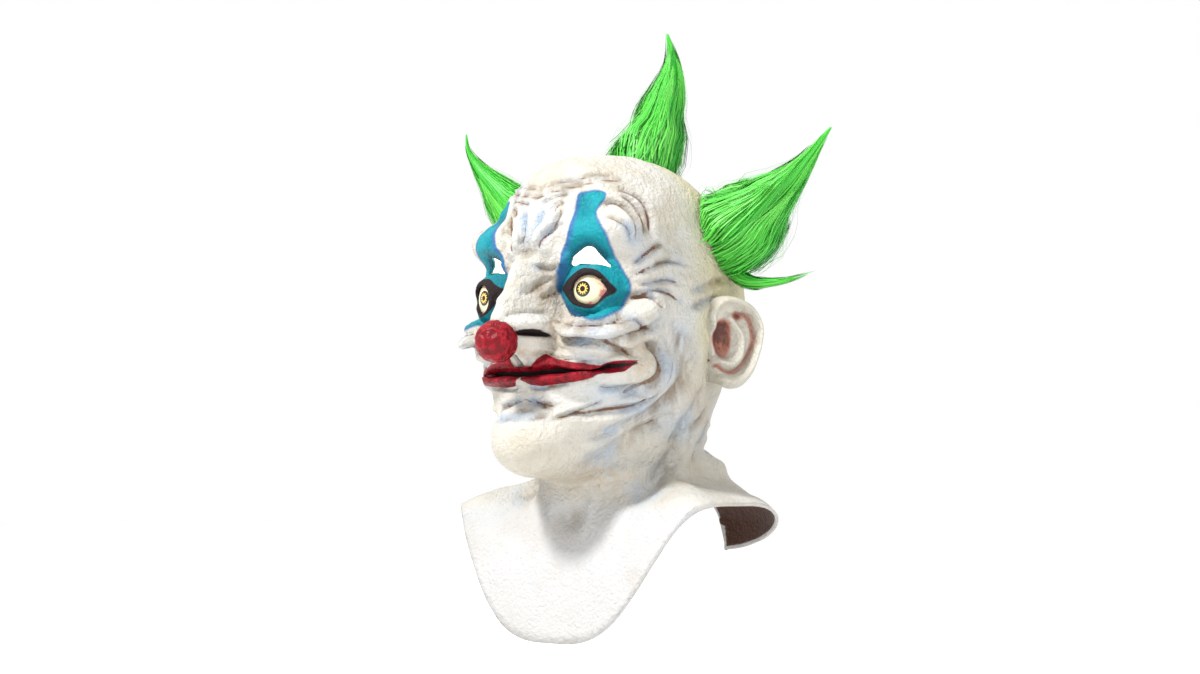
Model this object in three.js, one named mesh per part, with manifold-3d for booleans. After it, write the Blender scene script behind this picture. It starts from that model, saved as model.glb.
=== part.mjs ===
import * as THREE from 'three';
import { mergeVertices } from 'three/addons/utils/BufferGeometryUtils.js';
import Module from 'manifold-3d';

const wasm = await Module();
wasm.setup();

// Driving dimensions in millimetres. The face looks toward -Y, the crown is +Z,
// the wearer's left is +X, and the origin is the crown seat inside the latex.
const HALF_WIDTH = 95;
const DEPTH = 110;
const HEIGHT = 284;
const WALL = 2.6;
const GAP = 0.35;
const EYEBALL_RADIUS = 25;
const EYEBALL_WALL = 1.6;
const LID_GAP = 0.8;
const LID_HALF_WIDTH = 15;
const LID_HALF_HEIGHT = 12.5;
const NOSE_RADIUS = 18;
const EAR_HALF_HEIGHT = 40;
const EAR_HALF_WIDTH = 34;
const HAIR_REACH = 120;

// Places that follow the head, as shares of its driving sizes.
const EYE_X = 0.5474 * HALF_WIDTH;
const EYE_Y = -0.7727 * DEPTH;
const EYE_Z = -0.4507 * HEIGHT;
const LID_X = EYE_X + 0.26 * EYEBALL_RADIUS;
const NOSE_Y = -1.391 * DEPTH;
const NOSE_Z = -0.6056 * HEIGHT;
const EAR_CENTRE = [1.084 * HALF_WIDTH, 0.236 * DEPTH, -0.588 * HEIGHT];
const TOP_ROOT = [0, 0.382 * DEPTH, -0.042 * HEIGHT];
const SIDE_ROOT = [0.737 * HALF_WIDTH, 0.436 * DEPTH, -0.264 * HEIGHT];

// Sections from the crown to the hem, as shares of DEPTH, HEIGHT and HALF_WIDTH:
// front y, front z, side x, side y, side z, back y, back z,
// squareness of the front, squareness of the back, drop of the front.
const SECTIONS = [
  [-0.11, 0.010, 0.00, -0.11, 0.010, -0.11, 0.010, 2.0, 2.0, 2.0],
  [-0.40, 0.000, 0.32, -0.09, 0.000, 0.24, 0.000, 2.0, 2.0, 2.0],
  [-0.645, -0.030, 0.54, -0.055, -0.030, 0.47, -0.028, 2.0, 2.0, 2.0],
  [-0.83, -0.085, 0.73, -0.02, -0.078, 0.69, -0.078, 2.15, 2.0, 2.0],
  [-0.945, -0.160, 0.875, 0.045, -0.150, 0.90, -0.148, 2.4, 2.0, 2.0],
  [-1.0, -0.255, 0.96, 0.13, -0.245, 1.10, -0.246, 2.8, 2.0, 2.0],
  [-1.01, -0.360, 1.00, 0.20, -0.350, 1.22, -0.352, 3.2, 2.1, 2.0],
  [-1.01, -0.475, 1.00, 0.235, -0.465, 1.245, -0.458, 3.3, 2.1, 2.0],
  [-1.03, -0.590, 0.97, 0.235, -0.570, 1.18, -0.556, 3.3, 2.1, 2.0],
  [-1.06, -0.700, 0.92, 0.22, -0.670, 1.045, -0.644, 3.1, 2.0, 2.0],
  [-1.08, -0.795, 0.865, 0.18, -0.755, 0.91, -0.725, 2.5, 2.0, 2.0],
  [-1.13, -0.887, 0.81, 0.165, -0.820, 0.835, -0.796, 2.1, 2.0, 2.0],
  [-1.05, -0.958, 0.78, 0.145, -0.870, 0.80, -0.852, 2.0, 2.0, 2.0],
  [-0.80, -0.996, 0.76, 0.135, -0.905, 0.78, -0.900, 2.0, 2.0, 2.0],
  [-0.56, -1.014, 0.75, 0.135, -0.940, 0.82, -0.947, 2.0, 2.0, 2.0],
  [-0.52, -1.053, 0.78, 0.135, -0.982, 0.91, -0.993, 2.0, 2.0, 2.6],
  [-0.545, -1.11, 0.905, 0.12, -1.018, 1.02, -1.035, 2.1, 2.0, 3.6],
  [-0.62, -1.20, 1.18, 0.08, -1.042, 1.11, -1.077, 2.5, 2.1, 5.0],
  [-0.72, -1.33, 1.42, 0.045, -1.063, 1.145, -1.14, 2.95, 2.2, 6.5],
  [-0.77, -1.50, 1.57, 0.02, -1.080, 1.09, -1.24, 3.2, 2.3, 7.6],
];

// Soft mounds and hollows, both sides alike: angle from the nose in radians,
// height as a share of HEIGHT, radius along, radius up, tilt in degrees,
// rise as a share of HALF_WIDTH.
const MOUNDS = [
  [0.66, -0.275, 0.44, 0.085, 0, 0.130],
  [0.95, -0.400, 0.26, 0.110, 0, 0.040],
  [0.70, -0.565, 0.46, 0.085, 0, 0.190],
  [1.00, -0.500, 0.22, 0.060, 0, 0.080],
  [0.58, -0.355, 0.24, 0.045, 0, -0.090],
  [0.34, -0.440, 0.14, 0.055, 0, -0.050],
  [0.17, -0.300, 0.13, 0.070, 0, 0.040],
  [0.00, -0.675, 0.55, 0.085, 0, 0.075],
  [0.00, -0.800, 0.45, 0.035, 0, -0.035],
  [0.00, -0.900, 0.72, 0.130, 0, 0.190],
  [0.95, -0.690, 0.35, 0.080, 0, 0.060],
  [1.28, -0.330, 0.30, 0.110, 0, -0.030],
  [1.22, -0.640, 0.25, 0.120, 0, -0.040],
  [0.00, -1.120, 0.30, 0.060, 0, -0.060],
  [2.35, -1.000, 0.62, 0.055, 0, 0.170],
  [1.62, -0.560, 0.30, 0.130, 0, 0.030],
];

// Folds and creases along a line: half width and rise as shares of HALF_WIDTH,
// then the points of the line in the same chart.
const FOLDS = [
  [0.060, 0.025, [[0.10, -0.640], [0.17, -0.632], [0.40, -0.655], [0.72, -0.660]]],
  [0.070, 0.035, [[0.00, -0.735], [0.17, -0.732], [0.41, -0.722], [0.72, -0.697]]],
  [0.050, -0.055, [[0.00, -0.695], [0.40, -0.690], [0.72, -0.678], [0.90, -0.663]]],
  [0.060, -0.035, [[0.34, -0.555], [0.60, -0.628], [0.90, -0.632], [1.06, -0.665], [1.08, -0.74]]],
  [0.090, 0.045, [[0.62, -0.93], [0.80, -0.885], [1.15, -0.800], [1.45, -0.740]]],
  [0.090, 0.055, [[1.60, -0.80], [1.40, -0.88], [0.90, -1.00], [0.35, -1.09]]],
  [0.090, 0.060, [[0.22, -1.16], [0.50, -1.13], [0.85, -1.10], [1.20, -1.085]]],
  [0.060, -0.030, [[1.02, -0.610], [1.10, -0.682], [1.03, -0.758], [0.79, -0.845]]],
];

// Nose from the bridge to its root on the lip: height share, rise, half width.
const NOSE = [
  [-0.330, 0.00, 0.16],
  [-0.385, 0.04, 0.16],
  [-0.430, 0.12, 0.18],
  [-0.485, 0.21, 0.22],
  [-0.535, 0.31, 0.29],
  [-0.580, 0.38, 0.31],
  [-0.615, 0.37, 0.26],
  [-0.642, 0.15, 0.22],
  [-0.670, 0.00, 0.18],
];

const smooth = (x) => {
  const c = Math.min(1, Math.max(0, x));
  return c * c * (3 - 2 * c);
};

function catmull(table, t) {
  const n = table.length;
  const i = Math.min(n - 2, Math.max(0, Math.floor(t)));
  const f = t - i;
  const b = table[i];
  const c = table[i + 1];
  const a = i > 0 ? table[i - 1] : b.map((v, k) => 2 * v - c[k]);
  const d = i < n - 2 ? table[i + 2] : c.map((v, k) => 2 * v - b[k]);
  return b.map((v, k) => 0.5 * (2 * v + (c[k] - a[k]) * f
    + (2 * a[k] - 5 * v + 4 * c[k] - d[k]) * f * f
    + (3 * v - a[k] - 3 * c[k] + d[k]) * f * f * f));
}

function loft(u, t) {
  const [fy, fz, sx, sy, sz, by, bz, nf, nb, drop] = catmull(SECTIONS, t);
  const cu = Math.cos(u);
  const su = Math.sin(u);
  const n = cu >= 0 ? nf : nb;
  const r = (Math.abs(cu) ** n + Math.abs(su) ** n) ** (-1 / n);
  const c = Math.abs(cu) * r;
  const y = cu >= 0 ? sy + (fy - sy) * c : sy + (by - sy) * c;
  const z = cu >= 0 ? sz + (fz - sz) * c ** drop : sz + (bz - sz) * c * c;
  return new THREE.Vector3(HALF_WIDTH * sx * su * r, DEPTH * y, HEIGHT * z);
}

function alongLine(s, z, points) {
  let best = Infinity;
  for (let i = 0; i + 1 < points.length; i += 1) {
    const ax = points[i][0] * HALF_WIDTH;
    const az = points[i][1] * HEIGHT;
    const dx = points[i + 1][0] * HALF_WIDTH - ax;
    const dz = points[i + 1][1] * HEIGHT - az;
    const q = Math.min(1, Math.max(0, ((s - ax) * dx + (z - az) * dz) / (dx * dx + dz * dz)));
    best = Math.min(best, Math.hypot(s - ax - q * dx, z - az - q * dz));
  }
  return best;
}

function bump(d) {
  return d < 1 ? (1 - d * d) ** 2 : 0;
}

function relief(u, z) {
  const a = Math.abs(u);
  let h = 0;
  for (const [ma, mb, ra, rb, tilt, rise] of MOUNDS) {
    const c = Math.cos(tilt * Math.PI / 180);
    const s = Math.sin(tilt * Math.PI / 180);
    const p = (a - ma) * HALF_WIDTH;
    const q = z - mb * HEIGHT;
    h += rise * bump(Math.hypot((p * c + q * s) / (ra * HALF_WIDTH), (q * c - p * s) / (rb * HEIGHT)));
  }
  for (const [half, rise, points] of FOLDS) {
    h += rise * bump(alongLine(a * HALF_WIDTH, z, points) / (half * HALF_WIDTH * 1.6));
  }
  return h * HALF_WIDTH;
}

function noseRise(x, z) {
  const b = z / HEIGHT;
  if (b > NOSE[0][0] || b < NOSE[NOSE.length - 1][0]) {
    return 0;
  }
  let i = 0;
  while (b < NOSE[i + 1][0]) {
    i += 1;
  }
  const q = smooth((b - NOSE[i][0]) / (NOSE[i + 1][0] - NOSE[i][0]));
  const rise = NOSE[i][1] + (NOSE[i + 1][1] - NOSE[i][1]) * q;
  const half = NOSE[i][2] + (NOSE[i + 1][2] - NOSE[i][2]) * q;
  return HALF_WIDTH * rise * bump(Math.abs(x) / (half * HALF_WIDTH * 1.25));
}

const LID_BALL_REACH = 0.88 * EYEBALL_RADIUS;
const LID_BALL_FADE = 0.36 * EYEBALL_RADIUS;

// Lays a face point on a ball around the eye, fading into the face around the lids.
function overEye(p, radius) {
  const d = Math.hypot(Math.abs(p.x) - EYE_X, p.z - EYE_Z);
  const w = 1 - smooth((d - LID_BALL_REACH) / LID_BALL_FADE);
  if (w > 0 && p.y < 0) {
    p.y += w * (EYE_Y - Math.sqrt(Math.max(1, radius * radius - d * d)) - p.y);
  }
}

// Columns crowd toward the face, rows crowd toward eyes, nose and mouth.
function spread(knots) {
  const out = [];
  for (let i = 0; i + 1 < knots.length; i += 1) {
    const [from, , count] = knots[i];
    for (let k = 0; k < count; k += 1) {
      out.push(from + (knots[i + 1][0] - from) * k / count);
    }
  }
  return out;
}

const half = spread([[0, 0, 14], [1.35, 0, 7], [Math.PI, 0, 0]]);
const COLUMNS = [...half, Math.PI, ...half.slice(1).reverse().map((v) => -v)];
const ROWS = [...spread([[0.3, 0, 5], [4, 0, 23], [11.4, 0, 9], [19, 0, 0]]), 19];

function skinGrid() {
  const dt = 0.05;
  const du = 0.02;
  return ROWS.map((t) => COLUMNS.map((u) => {
    const p = loft(u, t);
    const across = loft(u + du, t).sub(loft(u - du, t));
    const down = loft(u, Math.min(19, t + dt)).sub(loft(u, t - dt));
    const normal = down.cross(across).normalize();
    const z = p.z;
    p.addScaledVector(normal, relief(u, z));
    if (Math.cos(u) > 0) {
      p.y -= noseRise(p.x, z);
      overEye(p, EYEBALL_RADIUS + LID_GAP + WALL);
    }
    return p;
  }));
}

function gridNormals(grid) {
  const n = COLUMNS.length;
  return grid.map((row, i) => row.map((p, j) => {
    const across = row[(j + 1) % n].clone().sub(row[(j + n - 1) % n]);
    const above = i > 0 ? grid[i - 1][j] : p;
    const below = i + 1 < grid.length ? grid[i + 1][j] : p;
    return below.clone().sub(above).cross(across).normalize();
  }));
}

function relaxed(grid, rounds) {
  const n = COLUMNS.length;
  let out = grid;
  for (let k = 0; k < rounds; k += 1) {
    const from = out;
    out = from.map((row, i) => row.map((p, j) => {
      if (i === 0 || i === from.length - 1) {
        return p.clone();
      }
      const sum = row[(j + 1) % n].clone().add(row[(j + n - 1) % n]);
      sum.add(from[i - 1][j]).add(from[i + 1][j]);
      return p.clone().multiplyScalar(0.5).addScaledVector(sum, 0.125);
    }));
  }
  return out;
}

function offsetGrid(grid, distance) {
  const normals = relaxed(gridNormals(grid), 2);
  return grid.map((row, i) => row.map((p, j) => {
    const q = p.clone().addScaledVector(normals[i][j].normalize(), distance);
    overEye(q, EYEBALL_RADIUS + LID_GAP + WALL + distance);
    return q;
  }));
}

function pushGrid(positions, triangles, grid, flip) {
  const n = COLUMNS.length;
  const start = positions.length / 3;
  const crown = grid[0].reduce((s, p) => s.add(p), new THREE.Vector3()).divideScalar(n);
  positions.push(crown.x, crown.y, crown.z + (flip ? 0.15 : 0.4));
  for (const row of grid) {
    for (const p of row) {
      positions.push(p.x, p.y, p.z);
    }
  }
  const id = (i, j) => start + 1 + i * n + (j % n);
  const add = (a, b, c) => triangles.push(...(flip ? [a, c, b] : [a, b, c]));
  for (let j = 0; j < n; j += 1) {
    add(start, id(0, j), id(0, j + 1));
    for (let i = 0; i + 1 < grid.length; i += 1) {
      add(id(i, j), id(i + 1, j), id(i + 1, j + 1));
      add(id(i, j), id(i + 1, j + 1), id(i, j + 1));
    }
  }
  return (j) => id(grid.length - 1, j);
}

// A solid from flat lists of coordinates and of triangle corners.
function solidOf(positions, triangles) {
  const mesh = new wasm.Mesh({
    numProp: 3,
    vertProperties: new Float32Array(positions),
    triVerts: new Uint32Array(triangles),
  });
  mesh.merge();
  return new wasm.Manifold(mesh);
}

// A filled body under a skin grid, closed across the hem.
function filled(grid) {
  const positions = [];
  const triangles = [];
  const rim = pushGrid(positions, triangles, grid, false);
  const n = COLUMNS.length;
  const centre = positions.length / 3;
  const middle = grid[grid.length - 1].reduce((s, p) => s.add(p), new THREE.Vector3()).divideScalar(n);
  positions.push(middle.x, middle.y, middle.z);
  for (let j = 0; j < n; j += 1) {
    triangles.push(centre, rim(j + 1), rim(j));
  }
  return solidOf(positions, triangles);
}

// The latex wall between two skin grids, closed around the hem.
function walled(outer, inner) {
  const positions = [];
  const triangles = [];
  const rimOut = pushGrid(positions, triangles, outer, false);
  const rimIn = pushGrid(positions, triangles, inner, true);
  for (let j = 0; j < COLUMNS.length; j += 1) {
    triangles.push(rimOut(j), rimIn(j), rimIn(j + 1));
    triangles.push(rimOut(j), rimIn(j + 1), rimOut(j + 1));
  }
  return solidOf(positions, triangles);
}

// A solid from one of the library's closed geometries.
function solidFrom(geometry) {
  geometry.deleteAttribute('normal');
  geometry.deleteAttribute('uv');
  const merged = mergeVertices(geometry, 1e-4);
  return solidOf(merged.attributes.position.array, merged.index.array);
}

// A straight prism along Y through an outline given in x and z.
function prism(outline, yFrom, yTo) {
  const shape = new THREE.Shape(outline.map(([x, z]) => new THREE.Vector2(x, z)));
  const body = new THREE.ExtrudeGeometry(shape, { depth: yTo - yFrom, bevelEnabled: false });
  return solidFrom(body.rotateX(Math.PI / 2).translate(0, yTo, 0));
}

function closedCurve(points, steps) {
  const curve = new THREE.CatmullRomCurve3(points.map(([x, z]) => new THREE.Vector3(x, 0, z)), true);
  return curve.getPoints(steps).slice(0, steps).map((p) => [p.x, p.z]);
}

const mirrored = (outline) => outline.map(([x, z]) => [-x, z]);

// Openings: the lids, the see-through slots above them, and the nape slit.
const LID = [[-1.0, -0.08], [-0.78, 0.62], [-0.20, 0.98], [0.45, 0.86], [0.92, 0.35],
  [1.0, -0.15], [0.55, -0.82], [-0.05, -1.0], [-0.65, -0.75]]
  .map(([a, b]) => [LID_X + a * LID_HALF_WIDTH, EYE_Z + b * LID_HALF_HEIGHT]);
const SLOT = [[-0.42, 0.76], [-0.28, 1.08], [-0.08, 1.38], [0.20, 1.54], [0.44, 1.38], [0.64, 1.08],
  [0.84, 0.78], [0.56, 0.86], [0.20, 0.90], [-0.16, 0.84]]
  .map(([a, b]) => [EYE_X + a * EYEBALL_RADIUS, EYE_Z + b * EYEBALL_RADIUS]);
const NAPE = [[-0.505, -1.408], [-0.421, -1.215], [-0.253, -1.120], [-0.084, -1.0], [0, -0.958],
  [0.084, -1.0], [0.253, -1.120], [0.421, -1.215], [0.505, -1.408]]
  .map(([a, b]) => [a * HALF_WIDTH, b * HEIGHT]);

// One ear: a cupped leaf with a rolled rim, drawn in a plane that stands off the skull.
const EAR_BACKWARD = new THREE.Vector3(0.40, 0.917, 0);
const EAR_UP = new THREE.Vector3(0, -0.09, 0.996);
const EAR_OUT = new THREE.Vector3(0.917, -0.40, 0);
// Outline: degrees from the front over the top, share of the half sizes.
const EAR_RING = [[0, 0.50], [25, 0.52], [45, 0.70], [60, 0.95], [75, 1.00], [90, 1.00], [112, 1.08],
  [135, 1.20], [160, 1.20], [180, 1.14], [205, 1.04], [225, 1.00], [250, 1.00], [270, 1.00],
  [290, 1.04], [308, 0.98], [325, 0.75], [343, 0.55]];
// Rise outward as shares of EAR_HALF_WIDTH: the face of the leaf, then its back.
const EAR_FACE = [[0.0, -0.26], [0.30, -0.22], [0.46, 0.02], [0.56, 0.10], [0.68, -0.06], [0.80, 0.02],
  [0.90, 0.17], [1.0, 0.10]];
const EAR_BACK = [[0.995, 0.03], [0.80, -0.16], [0.52, -0.40], [0.30, -0.59], [0.0, -0.62]];

function earPoint(angle, radius, rise) {
  let k = 0;
  while (k + 1 < EAR_RING.length && EAR_RING[k + 1][0] <= angle) {
    k += 1;
  }
  const next = EAR_RING[k + 1] ?? [360, EAR_RING[0][1]];
  const f = (angle - EAR_RING[k][0]) / (next[0] - EAR_RING[k][0]);
  const r = radius * (EAR_RING[k][1] + (next[1] - EAR_RING[k][1]) * f);
  const phi = angle * Math.PI / 180;
  const back = -Math.cos(phi) * r;
  const sink = 0.26 * smooth((-0.35 - back) / 0.26);
  return new THREE.Vector3(...EAR_CENTRE)
    .addScaledVector(EAR_BACKWARD, back * EAR_HALF_WIDTH)
    .addScaledVector(EAR_UP, Math.sin(phi) * r * EAR_HALF_HEIGHT)
    .addScaledVector(EAR_OUT, (rise - sink) * EAR_HALF_WIDTH);
}

function ear(side) {
  const steps = 18;
  const positions = [];
  const triangles = [];
  const put = (p) => {
    positions.push(side * p.x, p.y, p.z);
    return positions.length / 3 - 1;
  };
  const tip = put(earPoint(0, 0, EAR_FACE[0][1]));
  const foot = put(earPoint(0, 0, EAR_BACK[EAR_BACK.length - 1][1]));
  const rings = [...EAR_FACE.slice(1), ...EAR_BACK.slice(0, -1)]
    .map(([r, rise]) => Array.from({ length: steps }, (_, k) => put(earPoint(k * 360 / steps, r, rise))));
  const add = (a, b, c) => triangles.push(...(side > 0 ? [a, b, c] : [a, c, b]));
  for (let k = 0; k < steps; k += 1) {
    const m = (k + 1) % steps;
    add(tip, rings[0][m], rings[0][k]);
    for (let i = 0; i + 1 < rings.length; i += 1) {
      add(rings[i][k], rings[i][m], rings[i + 1][m]);
      add(rings[i][k], rings[i + 1][m], rings[i + 1][k]);
    }
    add(foot, rings[rings.length - 1][k], rings[rings.length - 1][m]);
  }
  return solidOf(positions, triangles);
}

// A dome behind each lid opening: a cap with an inner skin, turned about the line of sight.
function eyeDome(side) {
  const open = 56 * Math.PI / 180;
  const arc = (radius, share) => new THREE.Vector2(Math.sin(open * share), Math.cos(open * share))
    .multiplyScalar(radius);
  const shares = Array.from({ length: 6 }, (_, k) => k / 5);
  const profile = [
    ...shares.map((share) => arc(EYEBALL_RADIUS - EYEBALL_WALL, share)),
    ...shares.slice().reverse().map((share) => arc(EYEBALL_RADIUS, share)),
  ];
  const dome = new THREE.LatheGeometry(profile, 18).rotateX(Math.PI);
  return solidFrom(dome.translate(side * EYE_X, EYE_Y, EYE_Z));
}

// One lock of hair: a bent, tapering tube from its root to its tip.
function lock(path, widths, sides, squash, turn) {
  const curve = new THREE.CatmullRomCurve3(path.map((p) => new THREE.Vector3(...p)));
  const steps = 7;
  const positions = [];
  const triangles = [];
  const frames = curve.computeFrenetFrames(steps, false);
  for (let i = 0; i <= steps; i += 1) {
    const p = curve.getPointAt(i / steps);
    const w = catmull(widths.map((v) => [v]), (widths.length - 1) * i / steps)[0];
    for (let k = 0; k < sides; k += 1) {
      const a = turn + 2 * Math.PI * k / sides;
      const q = p.clone().addScaledVector(frames.normals[i], w * Math.cos(a))
        .addScaledVector(frames.binormals[i], w * squash * Math.sin(a));
      positions.push(q.x, q.y, q.z);
    }
  }
  const first = positions.length / 3;
  const root = curve.getPointAt(0);
  const tip = curve.getPointAt(1);
  positions.push(root.x, root.y, root.z, tip.x, tip.y, tip.z);
  for (let k = 0; k < sides; k += 1) {
    const m = (k + 1) % sides;
    triangles.push(first, m, k);
    for (let i = 0; i < steps; i += 1) {
      const a = i * sides + k;
      const b = i * sides + m;
      triangles.push(a, b, b + sides, a, b + sides, a + sides);
    }
    triangles.push(first + 1, steps * sides + k, steps * sides + m);
  }
  return solidOf(positions, triangles);
}

// Locks of each tuft: points as shares of HAIR_REACH from the tuft's root,
// then half widths along the lock as shares of HAIR_REACH.
const TOP_LOCKS = [
  [[[0, 0, 0], [0, 0.04, 0.18], [0, 0.15, 0.44], [0, 0.29, 0.60], [0, 0.355, 0.875], [0, 0.39, 1.075],
    [0, 0.30, 1.235]], [0.28, 0.275, 0.25, 0.185, 0.115, 0.06, 0.01]],
  [[[0.02, -0.16, 0.02], [0.03, -0.12, 0.25], [0.01, 0.03, 0.50], [0, 0.16, 0.72]], [0.12, 0.12, 0.09, 0.01]],
  [[[-0.05, 0.20, -0.05], [-0.03, 0.30, 0.25], [0.02, 0.42, 0.55], [0.02, 0.44, 0.85]],
    [0.12, 0.13, 0.10, 0.01]],
];
const LEFT_LOCKS = [
  [[[0, 0, 0], [0.30, 0.015, 0.085], [0.585, 0.035, 0.20], [0.80, 0.025, 0.385], [0.95, 0, 0.535],
    [1.125, -0.025, 0.74]], [0.32, 0.35, 0.285, 0.16, 0.075, 0.01]],
  [[[0.10, -0.05, 0.25], [0.35, -0.05, 0.32], [0.62, 0.02, 0.40], [0.90, 0.02, 0.55]],
    [0.13, 0.14, 0.09, 0.01]],
  [[[0.12, 0.02, -0.28], [0.40, 0.02, -0.14], [0.66, 0.06, 0.05], [0.85, 0.04, 0.28]],
    [0.14, 0.15, 0.11, 0.01]],
];
const RIGHT_LOCKS = [
  [[[0, 0, 0], [0.33, 0.03, 0.14], [0.625, 0.025, 0.335], [0.815, 0, 0.49], [0.95, -0.05, 0.65],
    [1.085, -0.115, 0.79], [1.165, -0.185, 0.96], [1.15, -0.235, 1.11]],
    [0.32, 0.335, 0.265, 0.19, 0.125, 0.07, 0.03, 0.008]],
  [[[0.10, -0.05, 0.27], [0.35, -0.05, 0.38], [0.62, 0.0, 0.50], [0.88, -0.02, 0.68]],
    [0.12, 0.13, 0.09, 0.01]],
  [[[0.12, 0.02, -0.26], [0.40, 0.02, -0.10], [0.68, 0.04, 0.12], [0.88, 0.02, 0.38]],
    [0.13, 0.14, 0.11, 0.01]],
];

function tuft(root, locks, side, keepOut) {
  let body = null;
  for (const [path, widths] of locks) {
    const points = path.map(([x, y, z]) => [side * (root[0] + x * HAIR_REACH),
      root[1] + y * HAIR_REACH, root[2] + z * HAIR_REACH]);
    const piece = lock(points, widths.map((w) => w * HAIR_REACH), 9, 0.8, 0.3);
    body = body ? body.add(piece) : piece;
  }
  return body.subtract(keepOut);
}

function largest(body) {
  const parts = body.decompose();
  return parts.reduce((a, b) => (a.volume() > b.volume() ? a : b));
}

function meshOf(name, body, material) {
  const raw = largest(body).getMesh();
  const geometry = new THREE.BufferGeometry();
  const stride = raw.numProp;
  const flat = new Float32Array(raw.triVerts.length * 3);
  raw.triVerts.forEach((v, k) => {
    flat[3 * k] = raw.vertProperties[stride * v];
    flat[3 * k + 1] = raw.vertProperties[stride * v + 1];
    flat[3 * k + 2] = raw.vertProperties[stride * v + 2];
  });
  geometry.setAttribute('position', new THREE.BufferAttribute(flat, 3));
  const mesh = new THREE.Mesh(mergeVertices(geometry, 1e-4), material);
  mesh.name = name;
  return mesh;
}

const outer = skinGrid();
const inner = offsetGrid(outer, -WALL);
const envelope = filled(offsetGrid(outer, GAP));
const cavity = filled(inner);
const room = filled(offsetGrid(outer, -WALL - GAP));
const front = (outline) => prism(outline, -1.5 * DEPTH, EYE_Y + EYEBALL_RADIUS);

let shell = walled(outer, inner);
for (const side of [1, -1]) {
  shell = shell.add(ear(side).subtract(cavity));
}
const lid = closedCurve(LID, 22);
const slot = closedCurve(SLOT, 20);
for (const outline of [lid, mirrored(lid), slot, mirrored(slot)]) {
  shell = shell.subtract(front(outline));
}
shell = shell.subtract(prism(NAPE, 0.27 * DEPTH, 1.55 * DEPTH));

const latex = new THREE.MeshStandardMaterial({ color: 0xe9e3d6, roughness: 0.55, metalness: 0 });
const eyes = new THREE.MeshStandardMaterial({ color: 0xf0d9c8, roughness: 0.12, metalness: 0 });
const red = new THREE.MeshStandardMaterial({ color: 0xa01020, roughness: 0.4, metalness: 0 });
const hair = new THREE.MeshStandardMaterial({ color: 0x2fc445, roughness: 0.7, metalness: 0 });

const mask = new THREE.Group();
mask.name = 'clown_mask';
mask.add(meshOf('latex_shell', shell, latex));
mask.add(meshOf('eye_left', eyeDome(1).intersect(room), eyes));
mask.add(meshOf('eye_right', eyeDome(-1).intersect(room), eyes));
const ball = solidFrom(new THREE.SphereGeometry(NOSE_RADIUS, 16, 10).translate(0, NOSE_Y, NOSE_Z));
mask.add(meshOf('nose_ball', ball.subtract(envelope), red));
mask.add(meshOf('hair_top', tuft(TOP_ROOT, TOP_LOCKS, 1, envelope), hair));
mask.add(meshOf('hair_left', tuft(SIDE_ROOT, LEFT_LOCKS, 1, envelope), hair));
mask.add(meshOf('hair_right', tuft(SIDE_ROOT, RIGHT_LOCKS, -1, envelope), hair));

export default mask;
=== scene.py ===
# %% [markdown]
# The object is a full-head clown mask: one soft latex wall from the crown, over the face and
# neck, down to a bib. Eyes, ball nose and three tufts of hair are fixed to it. The packed
# frame holds every piece at its real size, and this script only dresses it, in the same
# metres, with the face toward -Y and the wearer's left toward +X.

# %% Load the frame
import bpy
import numpy as np
from mathutils import Matrix, Vector


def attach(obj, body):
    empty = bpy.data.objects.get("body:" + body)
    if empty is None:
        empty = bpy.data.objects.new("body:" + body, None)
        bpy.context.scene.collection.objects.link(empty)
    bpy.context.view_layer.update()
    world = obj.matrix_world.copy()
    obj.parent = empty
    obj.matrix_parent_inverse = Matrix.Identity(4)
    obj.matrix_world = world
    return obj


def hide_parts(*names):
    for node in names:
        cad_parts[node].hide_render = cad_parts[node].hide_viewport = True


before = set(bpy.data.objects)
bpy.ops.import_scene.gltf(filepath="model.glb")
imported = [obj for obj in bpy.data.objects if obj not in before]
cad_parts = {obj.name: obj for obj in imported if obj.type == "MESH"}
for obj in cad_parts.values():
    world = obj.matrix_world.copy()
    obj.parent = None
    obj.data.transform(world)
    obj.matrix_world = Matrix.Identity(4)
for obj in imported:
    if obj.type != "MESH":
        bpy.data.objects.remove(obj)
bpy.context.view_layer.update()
MM = 0.001
print("nodes", sorted(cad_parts))

# %% [markdown]
# Sizes are in millimetres. The head is charted by the angle round it from the nose and by
# the height of its plain form, as a share of the height from crown to chin, so that one list
# of a few points places a fold, an outline or a patch of paint on both sides of the face.

# %% Driving sizes and the form of the head
HALF_WIDTH = 95.0
DEPTH = 110.0
HEIGHT = 284.0
WALL = 2.6
EYE = np.array([52.0, -85.0, -128.0])
EYEBALL = 25.0
LID_GAP = 0.8
NOSE_CENTRE = np.array([0.0, -153.0, -172.0])
NOSE_RADIUS = 18.0
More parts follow.
